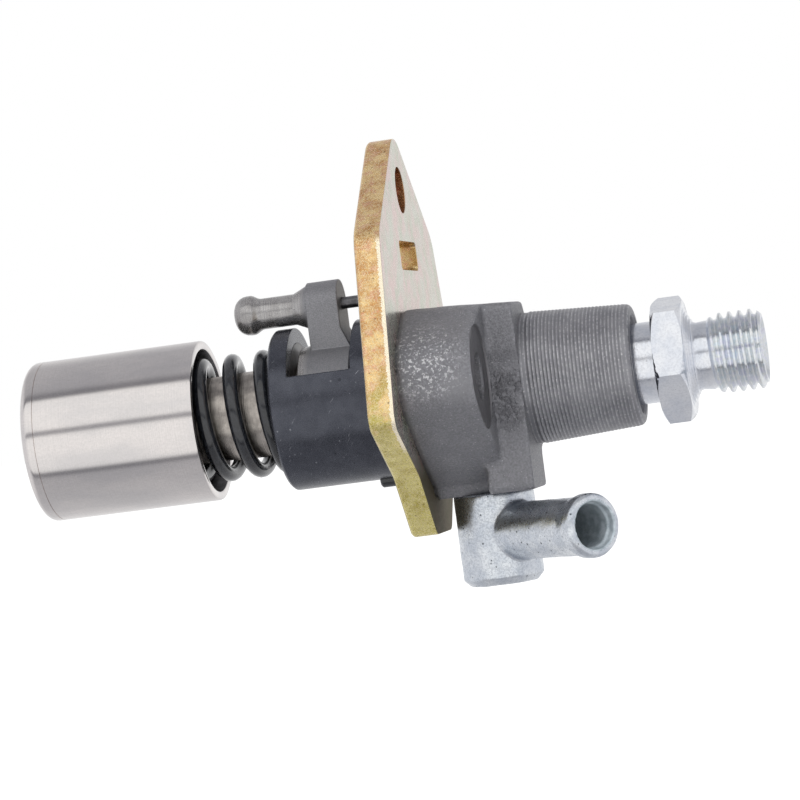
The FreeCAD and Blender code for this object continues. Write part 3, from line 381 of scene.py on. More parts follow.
def groundSteel():
    # grinding lines run round the cup, so bands stay crisp along it
    look = {"line": 0.09, "pit": 0.1, "bump": 0.0012}
    material, tree, shader, point = newFinish("groundSteel", Metallic=1.0)
    lines = useGroup(tree, turning, point, Pitch=look["line"])
    fine = useGroup(tree, grain, point, Size=0.3, Stretch=1.5, Detail=5.0)
    broad = useGroup(tree, grain, point, Size=5.0, Stretch=2.5, Low=0.3, High=0.7)
    pits = useGroup(tree, specks, point, Spacing=2.6, Radius=look["pit"], Amount=0.2)
    base = blendColors(tree, broad, tone(222, 218, 217), tone(238, 232, 229))
    base = layer(tree, base, lines, 0.22, tone(190, 188, 187))
    base = layer(tree, base, fine, 0.2, tone(200, 197, 194))
    base = layer(tree, base, pits, 0.5, tone(110, 102, 98))
    setSurface(tree, shader, base, lines, 0.11, 0.17)
    height = doMath(tree, "SUBTRACT", lines, pits)
    setBump(tree, shader, height, look["bump"])
    return material


def plainSteel(name, dark, pale, rough, pitch):
    material, tree, shader, point = newFinish(name, Metallic=1.0)
    rings = useGroup(tree, turning, point, Pitch=pitch)
    cloud = useGroup(tree, grain, point, Size=1.6, Detail=5.0)
    base = blendColors(tree, cloud, dark, pale)
    setSurface(tree, shader, base, rings, rough, rough + 0.1)
    setBump(tree, shader, rings, 0.006)
    return material


def blackGloss():
    material, tree, shader, point = newFinish("blackGloss", Coat_Weight=0.6, Coat_Roughness=0.08, IOR=1.5)
    cloud = useGroup(tree, grain, point, Size=0.8, Detail=5.0)
    dust = useGroup(tree, specks, point, Spacing=1.1, Radius=0.06, Amount=0.1)
    base = blendColors(tree, cloud, tone(15, 16, 19), tone(26, 28, 32))
    base = layer(tree, base, dust, 0.4, tone(110, 112, 116))
    setSurface(tree, shader, base, cloud, 0.14, 0.22)
    setBump(tree, shader, cloud, 0.002)
    return material


def blackOxide():
    material, tree, shader, point = newFinish("blackOxide", Metallic=0.85)
    cloud = useGroup(tree, grain, point, Size=3.0, Detail=4.0)
    fine = useGroup(tree, grain, point, Size=0.2, Detail=4.0)
    dust = useGroup(tree, specks, point, Spacing=0.9, Radius=0.1, Amount=0.3)
    marks = useGroup(tree, specks, point, Spacing=2.3, Radius=0.16, Amount=0.2)
    lines = useGroup(tree, streaks, point, Length=2.2, Width=0.12, Amount=0.4, Turn=0.9)
    base = blendColors(tree, cloud, tone(66, 68, 76), tone(76, 78, 86))
    base = layer(tree, base, fine, 0.3, tone(92, 94, 101))
    base = layer(tree, base, marks, 0.5, tone(28, 29, 33))
    base = layer(tree, base, dust, 0.6, tone(140, 142, 148))
    base = layer(tree, base, lines, 0.6, tone(170, 172, 178))
    setSurface(tree, shader, base, fine, 0.2, 0.3)
    setBump(tree, shader, doMath(tree, "SUBTRACT", fine, marks), 0.003)
    return material


def sinteredSteel(stud):
    # the head is matt and grained; past the stud's root it is turned and darker
    material, tree, shader, point = newFinish("sinteredSteel", Metallic=0.85)
    fine = useGroup(tree, grain, point, Size=0.14, Detail=3.0)
    cloud = useGroup(tree, grain, point, Size=2.2, Detail=4.0)
    rings = useGroup(tree, turning, point, Pitch=0.16)
    parts = splitPoint(tree, point)
    onStud = remap(tree, parts[0], stud, stud - 1.2)
    head = blendColors(tree, fine, tone(120, 120, 124), tone(150, 150, 153))
    turned = blendColors(tree, rings, tone(156, 154, 155), tone(180, 178, 176))
    turned = layer(tree, turned, cloud, 0.3, tone(98, 93, 92))
    tree.links.new(blendColors(tree, onStud, head, turned), shader.inputs["Base Color"])
    rough = doMath(tree, "SUBTRACT", remap(tree, fine, 0, 1, 0.42, 0.54, False),
                   times(tree, onStud, 0.24))
    tree.links.new(rough, shader.inputs["Roughness"])
    height = doMath(tree, "ADD", times(tree, fine, doMath(tree, "SUBTRACT", 1.0, onStud)),
                    times(tree, times(tree, rings, onStud), 0.08))
    setBump(tree, shader, height, 0.01)
    return material


def yellowZincFace():
    # pale passivation on the plate's broad faces, with pink and green clouds, and painted dark reflection and
    # shade towards the foot, in dark olive and rougher
    look = {"footHigh": -8.0, "footLow": -13.0}
    material, tree, shader, point = newFinish("yellowZincFace", Metallic=0.95)
    parts = splitPoint(tree, point)
    cloud = useGroup(tree, grain, point, Size=5.0, Detail=4.0)
    other = useGroup(tree, grain, point, Size=3.4, Detail=4.0, Low=0.45, High=0.65)
    fine = useGroup(tree, grain, point, Size=0.35, Detail=5.0)
    pits = useGroup(tree, specks, point, Spacing=1.3, Radius=0.1, Amount=0.25)
    marks = useGroup(tree, streaks, point, Length=3.0, Width=0.12, Amount=0.5, Turn=1.4)
    base = blendColors(tree, cloud, tone(204, 204, 190), tone(218, 190, 184))
    base = layer(tree, base, other, 0.7, tone(182, 194, 168))
    base = layer(tree, base, fine, 0.25, tone(236, 230, 222))
    base = layer(tree, base, pits, 0.5, tone(132, 124, 112))
    base = layer(tree, base, marks, 0.5, tone(130, 124, 116))
    # painted dark reflection and shade: below the foot line the face is darkened to olive brown and made
    # rougher
    low = remap(tree, parts[2], look["footHigh"], look["footLow"])
    base = layer(tree, base, low, 0.9, tone(104, 95, 74))
    tree.links.new(base, shader.inputs["Base Color"])
    rough = remap(tree, fine, 0, 1, 0.22, 0.34, False)
    tree.links.new(doMath(tree, "ADD", rough, times(tree, low, 0.4)), shader.inputs["Roughness"])
    setBump(tree, shader, doMath(tree, "SUBTRACT", fine, pits), 0.005)
    return material


def yellowZincEdge(name, low, high, burrOn, wear):
    # sheared side of the plate: olive to gold low down, orange gold higher up, and a pale burr along
    # the side that the punch left last
    look = {"burrStart": 3.5, "burrWidth": 0.08, "burrBottom": -9.0, "burrTop": 24.0}
    material, tree, shader, point = newFinish(name, Metallic=0.9)
    parts = splitPoint(tree, point)
    cloud = useGroup(tree, grain, point, Size=2.4, Detail=6.0, Low=0.38, High=0.62)
    fine = useGroup(tree, grain, point, Size=0.24, Detail=6.0, Low=0.4, High=0.62)
    drag = useGroup(tree, grain, point, Size=0.35, Stretch=5.0, Detail=3.0)
    pits = useGroup(tree, specks, point, Spacing=0.8, Radius=0.12, Amount=0.3)
    lifted = doMath(tree, "ADD", parts[2], times(tree, cloud, 8.0))
    upper = remap(tree, lifted, -3.0, 9.0)
    lower = blendColors(tree, cloud, low[0], low[1])
    top = blendColors(tree, cloud, high[0], high[1])
    base = blendColors(tree, upper, lower, top)
    rosy = useGroup(tree, grain, point, Size=1.5, Detail=4.0, Low=0.5, High=0.62)
    warm = times(tree, rosy, times(tree, upper, 0.5))
    base = blendColors(tree, warm, base, tone(222, 158, 138))
    base = layer(tree, base, drag, 0.14 * wear, tone(142, 112, 74))
    base = layer(tree, base, fine, 0.45 * wear, tone(250, 236, 196))
    base = layer(tree, base, pits, 0.6 * wear, tone(104, 78, 50))
    height = doMath(tree, "SUBTRACT", fine, pits)
    if burrOn:
        wavy = doMath(tree, "ADD", parts[0], times(tree, drag, 0.25))
        burr = remap(tree, wavy, look["burrStart"], look["burrStart"] + look["burrWidth"])
        inBand = times(tree, remap(tree, parts[2], look["burrBottom"], look["burrBottom"] + 2.0),
                        remap(tree, parts[2], look["burrTop"], look["burrTop"] - 2.0))
        burr = times(tree, burr, inBand)
        base = blendColors(tree, burr, base, tone(252, 240, 214))
        height = doMath(tree, "ADD", height, burr)
    setSurface(tree, shader, base, fine, 0.2, 0.34)
    setBump(tree, shader, height, 0.014 * wear)
    return material


def nearPoint(tree, point, centre, inner, outer):
    # 1 within the inner distance of a place, 0 past the outer one
    away = addNode(tree, "ShaderNodeVectorMath", {0: point, 1: centre}, operation="DISTANCE")
    return remap(tree, away.outputs["Value"], outer, inner)


def castIron():
    look = {"rubbedGlints": (8.0, -21.0, 4.0), "worn": (12.5, -23.5, 0.0), "torn": (17.5, -11.5, -2.5)}
    material, tree, shader, point = newFinish("castIron", Metallic=0.75)
    coarse = useGroup(tree, grain, point, Size=0.34, Detail=6.0, Low=0.3, High=0.7)
    fine = useGroup(tree, grain, point, Size=0.13, Detail=3.0)
    cloud = useGroup(tree, grain, point, Size=4.0, Detail=4.0)
    glint = useGroup(tree, specks, point, Spacing=0.32, Radius=0.07, Amount=0.25)
    glintFlecks = useGroup(tree, grain, point, Size=0.45, Detail=9.0, Low=0.54, High=0.62)
    lumps = useGroup(tree, grain, point, Size=1.1, Detail=4.0, Low=0.4, High=0.6)
    # a rubbed patch on the near ear, where pale flecks are painted highlight glints
    rubbedGlints = nearPoint(tree, point, look["rubbedGlints"], 3.0, 8.0)
    worn = nearPoint(tree, point, look["worn"], 1.2, 3.4)
    torn = nearPoint(tree, point, look["torn"], 3.0, 6.0)
    base = blendColors(tree, coarse, tone(116, 116, 120), tone(140, 140, 144))
    base = layer(tree, base, cloud, 0.35, tone(116, 116, 121))
    base = layer(tree, base, glint, 0.4, tone(210, 210, 212))
    base = layer(tree, base, worn, 0.6, tone(128, 128, 131))
    # painted highlight: pale glint flecks within the rubbed patch
    bright = times(tree, glintFlecks, times(tree, rubbedGlints, 0.6))
    base = blendColors(tree, bright, base, tone(232, 232, 234))
    base = blendColors(tree, times(tree, torn, times(tree, lumps, 0.4)),
                       base, tone(74, 73, 77))
    tree.links.new(base, shader.inputs["Base Color"])
    rough = doMath(tree, "SUBTRACT", remap(tree, fine, 0, 1, 0.4, 0.54, False),
                   times(tree, glint, 0.15))
    tree.links.new(rough, shader.inputs["Roughness"])
    grit = doMath(tree, "ADD", coarse, times(tree, fine, 0.5))
    grit = times(tree, grit, doMath(tree, "SUBTRACT", 1.0, times(tree, worn, 0.8)))
    height = doMath(tree, "ADD", grit, times(tree, lumps, times(tree, torn, 5.0)))
    setBump(tree, shader, height, 0.04)
    return material


def machinedIron(centreY, centreZ):
    # spot faces cut round the bolt holes: smooth and darker, with rings round the hole
    material, tree, shader, point = newFinish("machinedIron", Metallic=0.9)
    parts = splitPoint(tree, point)
    across = doMath(tree, "SUBTRACT", doMath(tree, "ABSOLUTE", parts[1]), centreY)
    upwards = doMath(tree, "SUBTRACT", parts[2], centreZ)
    squares = doMath(tree, "ADD", times(tree, across, across), times(tree, upwards, upwards))
    away = addNode(tree, "ShaderNodeCombineXYZ", {0: doMath(tree, "SQRT", squares)})
    rings = useGroup(tree, turning, away.outputs[0], Pitch=0.25)
    cloud = useGroup(tree, grain, point, Size=1.8, Detail=5.0)
    base = blendColors(tree, rings, tone(112, 111, 114), tone(136, 135, 138))
    base = layer(tree, base, cloud, 0.3, tone(96, 94, 97))
    setSurface(tree, shader, base, rings, 0.3, 0.42)
    setBump(tree, shader, rings, 0.01)
    return material


def turnedIron(start, pitch):
    # painted highlight: the crests of the ridges are painted pale here and there as glints, with pale glint
    # specks besides
    material, tree, shader, point = newFinish("turnedIron", Metallic=0.85)
    parts = splitPoint(tree, point)
    share = doMath(tree, "FRACT", doMath(tree, "DIVIDE", doMath(tree, "SUBTRACT", parts[0], start), pitch))
    crest = remap(tree, doMath(tree, "ABSOLUTE", doMath(tree, "SUBTRACT", share, 0.5)), 0.24, 0.08)
    # painted highlight: pale glints along the ridge crests
    worn = useGroup(tree, grain, point, Size=0.5, Detail=6.0, Low=0.44, High=0.6)
    worn = times(tree, crest, doMath(tree, "ADD", times(tree, worn, 0.5), 0.1))
    rings = useGroup(tree, turning, point, Pitch=0.1)
    cloud = useGroup(tree, grain, point, Size=3.0, Detail=5.0)
    glint = useGroup(tree, specks, point, Spacing=0.5, Radius=0.08, Amount=0.16)
    base = blendColors(tree, cloud, tone(122, 122, 127), tone(138, 138, 142))
    base = layer(tree, base, rings, 0.25, tone(168, 167, 170))
    base = blendColors(tree, worn, base, tone(196, 196, 200))
    base = layer(tree, base, glint, 0.5, tone(222, 221, 222))
    setSurface(tree, shader, base, rings, 0.4, 0.48)
    setBump(tree, shader, rings, 0.004)
    return material


def brightZinc(threadStart):
    material, tree, shader, point = newFinish("brightZinc", Metallic=1.0)
    parts = splitPoint(tree, point)
    cloud = useGroup(tree, grain, point, Size=3.2, Detail=4.0)
    fine = useGroup(tree, grain, point, Size=0.35, Detail=5.0, Low=0.42, High=0.62)
    marks = useGroup(tree, specks, point, Spacing=1.0, Radius=0.09, Amount=0.25)
    rings = useGroup(tree, turning, point, Pitch=0.14)
    base = blendColors(tree, cloud, tone(226, 230, 238), tone(240, 242, 246))
    # thin passivation on the thread shifts between cyan, yellow and lilac
    film = useGroup(tree, grain, point, Size=1.1, Detail=3.0, Low=0.3, High=0.7)
    tints = addNode(tree, "ShaderNodeValToRGB", {0: film})
    ramp = tints.color_ramp
    ramp.elements[0].color = tone(218, 234, 240)
    ramp.elements[1].color = tone(226, 222, 238)
    ramp.elements.new(0.45).color = tone(240, 240, 228)
    ramp.elements.new(0.7).color = tone(230, 236, 246)
    onThread = remap(tree, parts[0], threadStart, threadStart + 1.0)
    base = blendColors(tree, times(tree, onThread, 0.4), base, tints.outputs[0])
    base = layer(tree, base, fine, 0.14, tone(176, 180, 190))
    base = layer(tree, base, marks, 0.4, tone(140, 142, 150))
    setSurface(tree, shader, base, fine, 0.15, 0.24)
    height = doMath(tree, "ADD", fine, times(tree, rings, 0.6))
    setBump(tree, shader, height, 0.0022)
    return material


def pittedZinc():
    material, tree, shader, point = newFinish("pittedZinc", Metallic=1.0)
    cloud = useGroup(tree, grain, point, Size=2.4, Detail=4.0)
    fine = useGroup(tree, grain, point, Size=0.3, Detail=5.0, Low=0.42, High=0.62)
    pits = useGroup(tree, specks, point, Spacing=0.8, Radius=0.12, Amount=0.4)
    stains = useGroup(tree, specks, point, Spacing=5.0, Radius=1.2, Amount=0.2)
    base = blendColors(tree, cloud, tone(212, 218, 226), tone(236, 240, 244))
    base = layer(tree, base, fine, 0.4, tone(160, 167, 178))
    base = layer(tree, base, stains, 0.3, tone(186, 178, 166))
    base = layer(tree, base, pits, 0.85, tone(58, 62, 68))
    setSurface(tree, shader, base, fine, 0.27, 0.4)
    height = doMath(tree, "SUBTRACT", times(tree, fine, 0.5),
                    times(tree, pits, 2.0))
    setBump(tree, shader, height, 0.006)
    return material


def dullZinc():
    material, tree, shader, point = newFinish("dullZinc", Metallic=0.35)
    cloud = useGroup(tree, grain, point, Size=1.2, Detail=5.0)
    rings = useGroup(tree, grain, point, Size=0.3, Detail=4.0)
    base = blendColors(tree, cloud, tone(142, 152, 158), tone(170, 178, 184))
    setSurface(tree, shader, base, rings, 0.4, 0.55)
    setBump(tree, shader, rings, 0.01)
    return material


def blackRubber():
    material, tree, shader, point = newFinish("blackRubber", IOR=1.5)
    fine = useGroup(tree, grain, point, Size=0.4, Detail=4.0)
    tree.links.new(blendColors(tree, fine, tone(20, 20, 21), tone(34, 34, 36)), shader.inputs["Base Color"])
    tree.links.new(remap(tree, fine, 0, 1, 0.5, 0.65, False), shader.inputs["Roughness"])
    return material


# pieces

tappetSizes = {
    "round": 1.3, "groove": 2.1, "grooveWidth": 0.28, "grooveDepth": 0.16, "grooveSlope": 0.06,
    "rim": 0.3, "rimShare": 0.3, "wall": 1.35, "floor": 5.0, "margin": 0.1, "steps": 192,
}


def makeTappet():
    # ground outside, with a rounded end and a narrow groove beside it
    sizes = tappetSizes
    low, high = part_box("tappet")
    left, right, outer = low.x / mm, high.x / mm, high.z / mm
    bore = outer - sizes["wall"]
    curve, rim = sizes["round"], sizes["rim"]
    eased = rim * sizes["rimShare"]
    groove, slope = left + sizes["groove"], sizes["grooveSlope"]
    grooveEnd, grooveFloor = groove + sizes["grooveWidth"], outer - sizes["grooveDepth"]
    floor = left + sizes["floor"]
    profile = [(left, 0)]
    for turn in quarterTurn():
        profile.append((left + curve * (1 - math.cos(turn)), outer - curve * (1 - math.sin(turn))))
    profile += [
        (groove, outer), (groove + slope, grooveFloor), (grooveEnd - slope, grooveFloor), (grooveEnd, outer),
        (right - rim, outer), (right - eased, outer - eased), (right, outer - rim), (right, bore + rim),
        (right - eased, bore + eased), (right - rim, bore), (floor, bore), (floor, 0),
    ]
    obj = lathe("tappetCup", profile, sizes["steps"])
    shade(obj, 30)
    dress(obj, finishes["groundSteel"], "tappet", "ground_steel", "tappet")
    # the bore isn't ground
    obj.data.materials.append(finishes["pressedSteel"])
    for face in obj.data.polygons:
        radius = math.hypot(face.center.y, face.center.z) / mm
        if radius < bore + sizes["margin"] and face.center.x / mm > floor - sizes["margin"]:
            face.material_index = 1
    return obj


def makeBarrel():
    obj = easedCopy("guide_barrel", "guideBarrel", 0.14)
    return dress(obj, finishes["blackOxide"], "root", "black_oxide", "guide_barrel")


def makeSleeve():
    obj = easedCopy("control_sleeve", "controlSleeve", 0.1)
    return dress(obj, finishes["sleeveSteel"], "lever", "sleeve_steel", "control_sleeve")


armSizes = {
    "stud": 15.0, "studLength": 11.6, "neck": 2.35, "flare": 3.4, "flareLength": 2.3, "knob": 3.0,
    "knobRound": 2.1, "knobLength": 3.9, "easeBack": 1.3, "easeLength": 1.6, "sunk": 0.5, "edge": 0.2,
    "clear": 0.3, "steps": 64,
}


def makeArm():
    # the node's head and ring, with the stud turned again: a round knob and a smooth flare
    sizes = armSizes
    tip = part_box("control_arm")[0].x / mm
    head = tip + sizes["studLength"]
    obj = copyNode("control_arm", "controlArm")

    def onStud(face):
        spot = face.calc_center_median() / mm
        away = math.hypot(spot.y, spot.z - sizes["stud"])
        return spot.x < head - 0.01 and away < sizes["flare"] + sizes["clear"]
    editPick(obj, "FACE", onStud)
    bpy.ops.mesh.delete(type="FACE")
    bpy.ops.mesh.select_mode(type="EDGE")
    bpy.ops.mesh.select_non_manifold()
    bpy.ops.mesh.edge_face_add()
    bpy.ops.mesh.select_all(action="SELECT")
    bpy.ops.mesh.dissolve_limited(angle_limit=math.radians(0.6))
    bpy.ops.mesh.normals_make_consistent(inside=False)
    leaveEdit()
    easeEdges(obj, sizes["edge"], segments=3)
    knob, neck, flare, curve = (sizes[key] for key in ("knob", "neck", "flare", "knobRound"))
    profile = [(tip, 0)]
    for turn in quarterTurn():
        profile.append((tip + curve * (1 - math.cos(turn)), knob - curve * (1 - math.sin(turn))))
    shoulder = tip + sizes["knobLength"] - sizes["easeBack"]
    for step in range(7):
        # eases from the knob into the neck
        share = step / 6
        drop = share * share * (3 - 2 * share)
        profile.append((shoulder + sizes["easeLength"] * share, knob + (neck - knob) * drop))
    for turn in quarterTurn(8):
        reach = sizes["flareLength"] * math.cos(turn)
        profile.append((head - reach + 0.02, neck + (flare - neck) * (1 - math.cos(turn))))
    profile += [(head + sizes["sunk"], flare - 0.1), (head + sizes["sunk"], 0)]
    stud = lathe("armStud", profile, sizes["steps"])
    raiseBy(stud, sizes["stud"])
    for piece in (obj, stud):
        shade(piece, 38)
        dress(piece, finishes["sinteredSteel"], "lever", "sintered_steel", "control_arm")
    trueFlats(obj)


def makePins():
    for node, name, finish, body, slot in (
        ("arm_pin", "armPin", "pinSteel", "lever", "pin_steel"),
        ("locating_pin", "locatingPin", "blackGloss", "root", "black_pin"),
    ):
        obj = easedCopy(node, name, 0.08)
        dress(obj, finishes[finish], body, slot, node)


plateSizes = {"topHole": 30.7, "holeReach": 4.2, "windowHalf": (7.3, 2.6), "window": 20.7}


def makePlate():
    obj = easedCopy("mounting_plate", "flangePlate", 0.16, angle=35)
    dress(obj, finishes["yellowZincFace"], "root", "yellow_zinc", "mounting_plate")
    for finish in ("yellowZincEdge", "copperHole", "goldWindow"):
        obj.data.materials.append(finishes[finish])
    sizes = plateSizes
    for face in obj.data.polygons:
        x, y, z = (value / mm for value in face.center)
        half = sizes["windowHalf"]
        if abs(face.normal.x) > 0.8:
            face.material_index = 0
        elif math.hypot(y, z - sizes["topHole"]) < sizes["holeReach"]:
            face.material_index = 2
        elif abs(y) < half[0] and abs(z - sizes["window"]) < half[1]:
            face.material_index = 3
        else:
            face.material_index = 1
    return obj


springSizes = {"wire": 2.3, "outer": 19.3, "pitch": 4.8, "gap": 0.1, "tip": 212.0, "perTurn": 40}
valveSpringSizes = {"wire": 0.9, "outer": 6.4, "pitch": 2.0, "gap": 0.1, "tip": 0.0, "perTurn": 28}


def windSpring(node, name, sizes):
    left, right = (corner.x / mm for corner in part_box(node))
    closed = sizes["wire"] + sizes["gap"]
    live = (right - left - 2 * closed) / sizes["pitch"]
    turns = live + 2
    radius = (sizes["outer"] - sizes["wire"]) / 2
    count = round(turns * sizes["perTurn"])
    curve = bpy.data.curves.new(name, "CURVE")
    curve.dimensions = "3D"
    spline = curve.splines.new("POLY")
    points = []
    for i in range(-3, count + 4):
        wound = i * turns / count
        x = left + closed * wound + (sizes["pitch"] - closed) * min(max(wound - 1, 0), live)
        angle = math.radians(sizes["tip"]) - 2 * math.pi * (turns - wound)
        points.append((x * mm, radius * math.cos(angle) * mm, radius * math.sin(angle) * mm, 1))
    spline.points.add(len(points) - 1)
    for point, place in zip(spline.points, points):
        point.co = place
    curve.bevel_depth = sizes["wire"] / 2 * mm
    curve.bevel_resolution = 5
    curve.use_fill_caps = True
    pickOnly(newObject(name, curve))
    bpy.ops.object.convert(target="MESH")
    obj = bpy.context.object
    tidyMesh(obj)
    # both ends are ground flat
    for x, outwards in ((left, -1), (right, 1)):
        beyond = x + outwards * 2 * sizes["wire"]
        grinder = lathe("grinder", [(x, 0), (x, sizes["outer"]), (beyond, sizes["outer"]), (beyond, 0)], 48)
        boolean(obj, grinder, "DIFFERENCE")
    tidyMesh(obj)
    shade(obj, 50)
    return obj


def makeSprings():
    main = windSpring("plunger_spring", "returnSpring", springSizes)
    dress(main, finishes["blackGloss"], "root", "black_spring", "plunger_spring")
    inner = windSpring("valve_spring", "valveSpring", valveSpringSizes)
    dress(inner, finishes["blackGloss"], "root", "black_spring", "valve_spring")
    for obj, node, joint, anchorAt in (
        (main, "plunger_spring", "tappet_slide", 1),
        (inner, "valve_spring", "valve_slide", 1),
    ):
        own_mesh(obj)


castSizes = {
    "voxel": 0.3, "plateSide": 4.0, "endFace": 19.9, "spotFloor": 15.1, "foot": -16.2,
    "holeY": 17.5, "holeZ": 1.2, "holeRadius": 3.5, "spotRadius": 7.7,
    "spotSunk": 0.02, "spotEase": 0.25, "ripple": 0.12, "rippleSize": 3.0, "top": 11.0, "topFall": 0.8,
    "topBand": 2.0, "valleyX": (13.0, 18.5), "valleyY": (-14.5, -8.5), "faceReach": 0.45, "holeReach": 0.3,
}


def makeCasting():
    sizes = castSizes
    obj = copyNode("cast_body", "castBody")
    # the turned cone is its own piece, so the casting ends at the machined face
    pickOnly(obj)
    bpy.ops.object.mode_set(mode="EDIT")
    bpy.ops.mesh.select_all(action="SELECT")
    bpy.ops.mesh.bisect(
        plane_co=(sizes["endFace"] * mm, 0, 0), plane_no=(1, 0, 0), use_fill=True, clear_outer=True,
    )
    leaveEdit()
    roughen(obj, sizes)
    for vertex in obj.data.vertices:
        # the top falls a little towards the outlet
        along = (vertex.co.x / mm - sizes["plateSide"]) / (sizes["endFace"] - sizes["plateSide"])
        lifted = (vertex.co.z / mm - sizes["top"] + sizes["topBand"]) / sizes["topBand"]
        vertex.co.z -= sizes["topFall"] * along * min(max(lifted, 0), 1) * mm

    def inValley(vertex):
        x, y, z = (value / mm for value in vertex.co)
        (left, right), (front, back) = sizes["valleyX"], sizes["valleyY"]
        return left < x < right and front < y < back
    # the valley between the near ear and the square block is softly filled
    soften(obj, inValley, 14, 2)
    flattenMachined(obj, sizes)
    cutSpotFaces(obj, sizes)
    shade(obj, 40)
    dress(obj, finishes["castIron"], "root", "cast_iron", "cast_body")
    obj.data.materials.append(finishes["machinedIron"])
    for face in obj.data.polygons:
        x, y, z = (value / mm for value in face.center)
        away = math.hypot(abs(y) - sizes["holeY"], z - sizes["holeZ"])
        onFloor = abs(x - sizes["spotFloor"]) < sizes["holeReach"] and face.normal.x > 0.5
        if away < sizes["spotRadius"] and onFloor:
            face.material_index = 1
    return obj


def flattenMachined(obj, sizes):
    # machined faces and holes are true again after the grain; normals are read before anything moves
    reach = sizes["faceReach"]
    normals = [vertex.normal.copy() for vertex in obj.data.vertices]
    for vertex, normal in zip(obj.data.vertices, normals):
        x, y, z = (value / mm for value in vertex.co)
        hole = math.copysign(sizes["holeY"], y)
        away = math.hypot(y - hole, z - sizes["holeZ"])
        if abs(away - sizes["holeRadius"]) < sizes["holeReach"] and abs(normal.x) < 0.6:
            grow = sizes["holeRadius"] / away
            vertex.co.y = (hole + (y - hole) * grow) * mm
            vertex.co.z = (sizes["holeZ"] + (z - sizes["holeZ"]) * grow) * mm
        for place, side in ((sizes["plateSide"], -1), (sizes["endFace"], 1)):
            if abs(x - place) < reach and normal.x * side > 0.75:
                vertex.co.x = place * mm
        if abs(z - sizes["foot"]) < reach and normal.z < -0.75:
            vertex.co.z = sizes["foot"] * mm


def cutSpotFaces(obj, sizes):
    floor, radius, top = sizes["spotFloor"] - sizes["spotSunk"], sizes["spotRadius"], sizes["endFace"] + 2
    ease = sizes["spotEase"]
    profile = [(floor, 0), (floor, radius - ease), (floor + ease, radius), (top, radius), (top, 0)]
    for side in (-1, 1):
        cutter = lathe("cutter", profile, 96)
        raiseBy(cutter, sizes["holeZ"])
        for vertex in cutter.data.vertices:
            vertex.co.y += side * sizes["holeY"] * mm
        boolean(obj, cutter, "DIFFERENCE")
    tidyMesh(obj, 0.002)


coneSizes = {
    "start": 19.9, "end": 36.3, "base": 10.0, "tip": 9.1, "relief": 1.1, "ridgePitch": 0.55,
    "ridgeDepth": 0.1, "smoothEnd": 1.3, "rounding": 0.8, "mouth": 7.4, "mouthDepth": 2.3, "bore": 7.0,
    "lip": 0.25, "reliefDepth": 0.12, "steps": 160,
    "ridge": ((0.0, 1.0), (0.25, 0.3), (0.5, 0.0), (0.75, 0.3)),
}


def makeCone():
    sizes = coneSizes
    length = sizes["end"] - sizes["start"]

    def radiusAt(x):
        return sizes["base"] + (sizes["tip"] - sizes["base"]) * (x - sizes["start"]) / length

    end, bore, mouth, lip, inset = (sizes[key] for key in ("end", "bore", "mouth", "lip", "rounding"))
    profile = [(sizes["start"], bore), (sizes["start"], radiusAt(sizes["start"]) - sizes["reliefDepth"])]
    x = sizes["start"] + sizes["relief"]
    profile.append((x - 0.2, radiusAt(x) - sizes["reliefDepth"]))
    # fine ridges left by the turning tool
    while x < end - sizes["smoothEnd"]:
        for share, dip in sizes["ridge"]:
            profile.append((x + share * sizes["ridgePitch"], radiusAt(x) - dip * sizes["ridgeDepth"]))
        x += sizes["ridgePitch"]
    profile.append((x, radiusAt(x) - 0.02))
    for turn in quarterTurn():
        profile.append((end - inset + inset * math.sin(turn), radiusAt(end) - inset + inset * math.cos(turn)))
    inside = end - sizes["mouthDepth"]
    profile += [(end, mouth + lip), (end - lip, mouth), (inside, mouth), (inside, bore)]
    obj = lathe("turnedCone", profile, sizes["steps"])
    shade(obj, 45)
    dress(obj, finishes["turnedIron"], "root", "cast_iron")
    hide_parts("cast_body")
    return obj


holderSizes = {
    "left": 29.2, "threadRight": 34.0, "hexLeft": 39.4, "hexRight": 44.0, "undercutRight": 47.2,
    "right": 55.3, "inner": 6.98, "neck": 6.1, "across": 17.0, "turn": 16.7, "undercut": 5.0,
    "major": 6.0, "depth": 0.86, "pitch": 1.5, "chamfer": 0.9, "cavity": 4.6, "cavityRight": 42.5,
    "bore": 1.3, "cone": 4.75, "coneDepth": 3.8, "steps": 160, "threadStep": 0.07, "hexHole": 4.8,
    "hexEase": 0.12, "ease": 0.15, "threadEase": 0.3, "tipEase": 0.06,
    "collar": (
        (-0.1, 2.6), (0.12, 2.3), (0.14, 1.9), (0.34, 1.75), (0.36, 1.35), (0.6, 1.2), (0.62, 0.8),
        (0.95, 0.6), (1.0, 0.3), (1.25, 0.1), (1.6, 0.0),
    ),
}


def threadRadius(sizes, x, angle):
    # rounded crests and roots, faded in from the undercut and turned off at the chamfer
    share = (x / sizes["pitch"] - angle / (2 * math.pi)) % 1
    rise = 1 - abs(2 * share - 1)
    rise = min(max((rise - 0.16) / 0.66, 0), 1)
    rise = 0.5 * rise + 0.5 * rise * rise * (3 - 2 * rise)
    fadeIn = min(max((x - sizes["undercutRight"]) / (1.2 * sizes["pitch"]), 0), 1)
    root = sizes["major"] - sizes["depth"]
    start = sizes["undercut"] + (root - sizes["undercut"]) * fadeIn
    radius = start + (sizes["major"] - start) * rise * (0.35 + 0.65 * fadeIn)
    return min(radius, sizes["major"] - sizes["chamfer"] + (sizes["right"] - x))


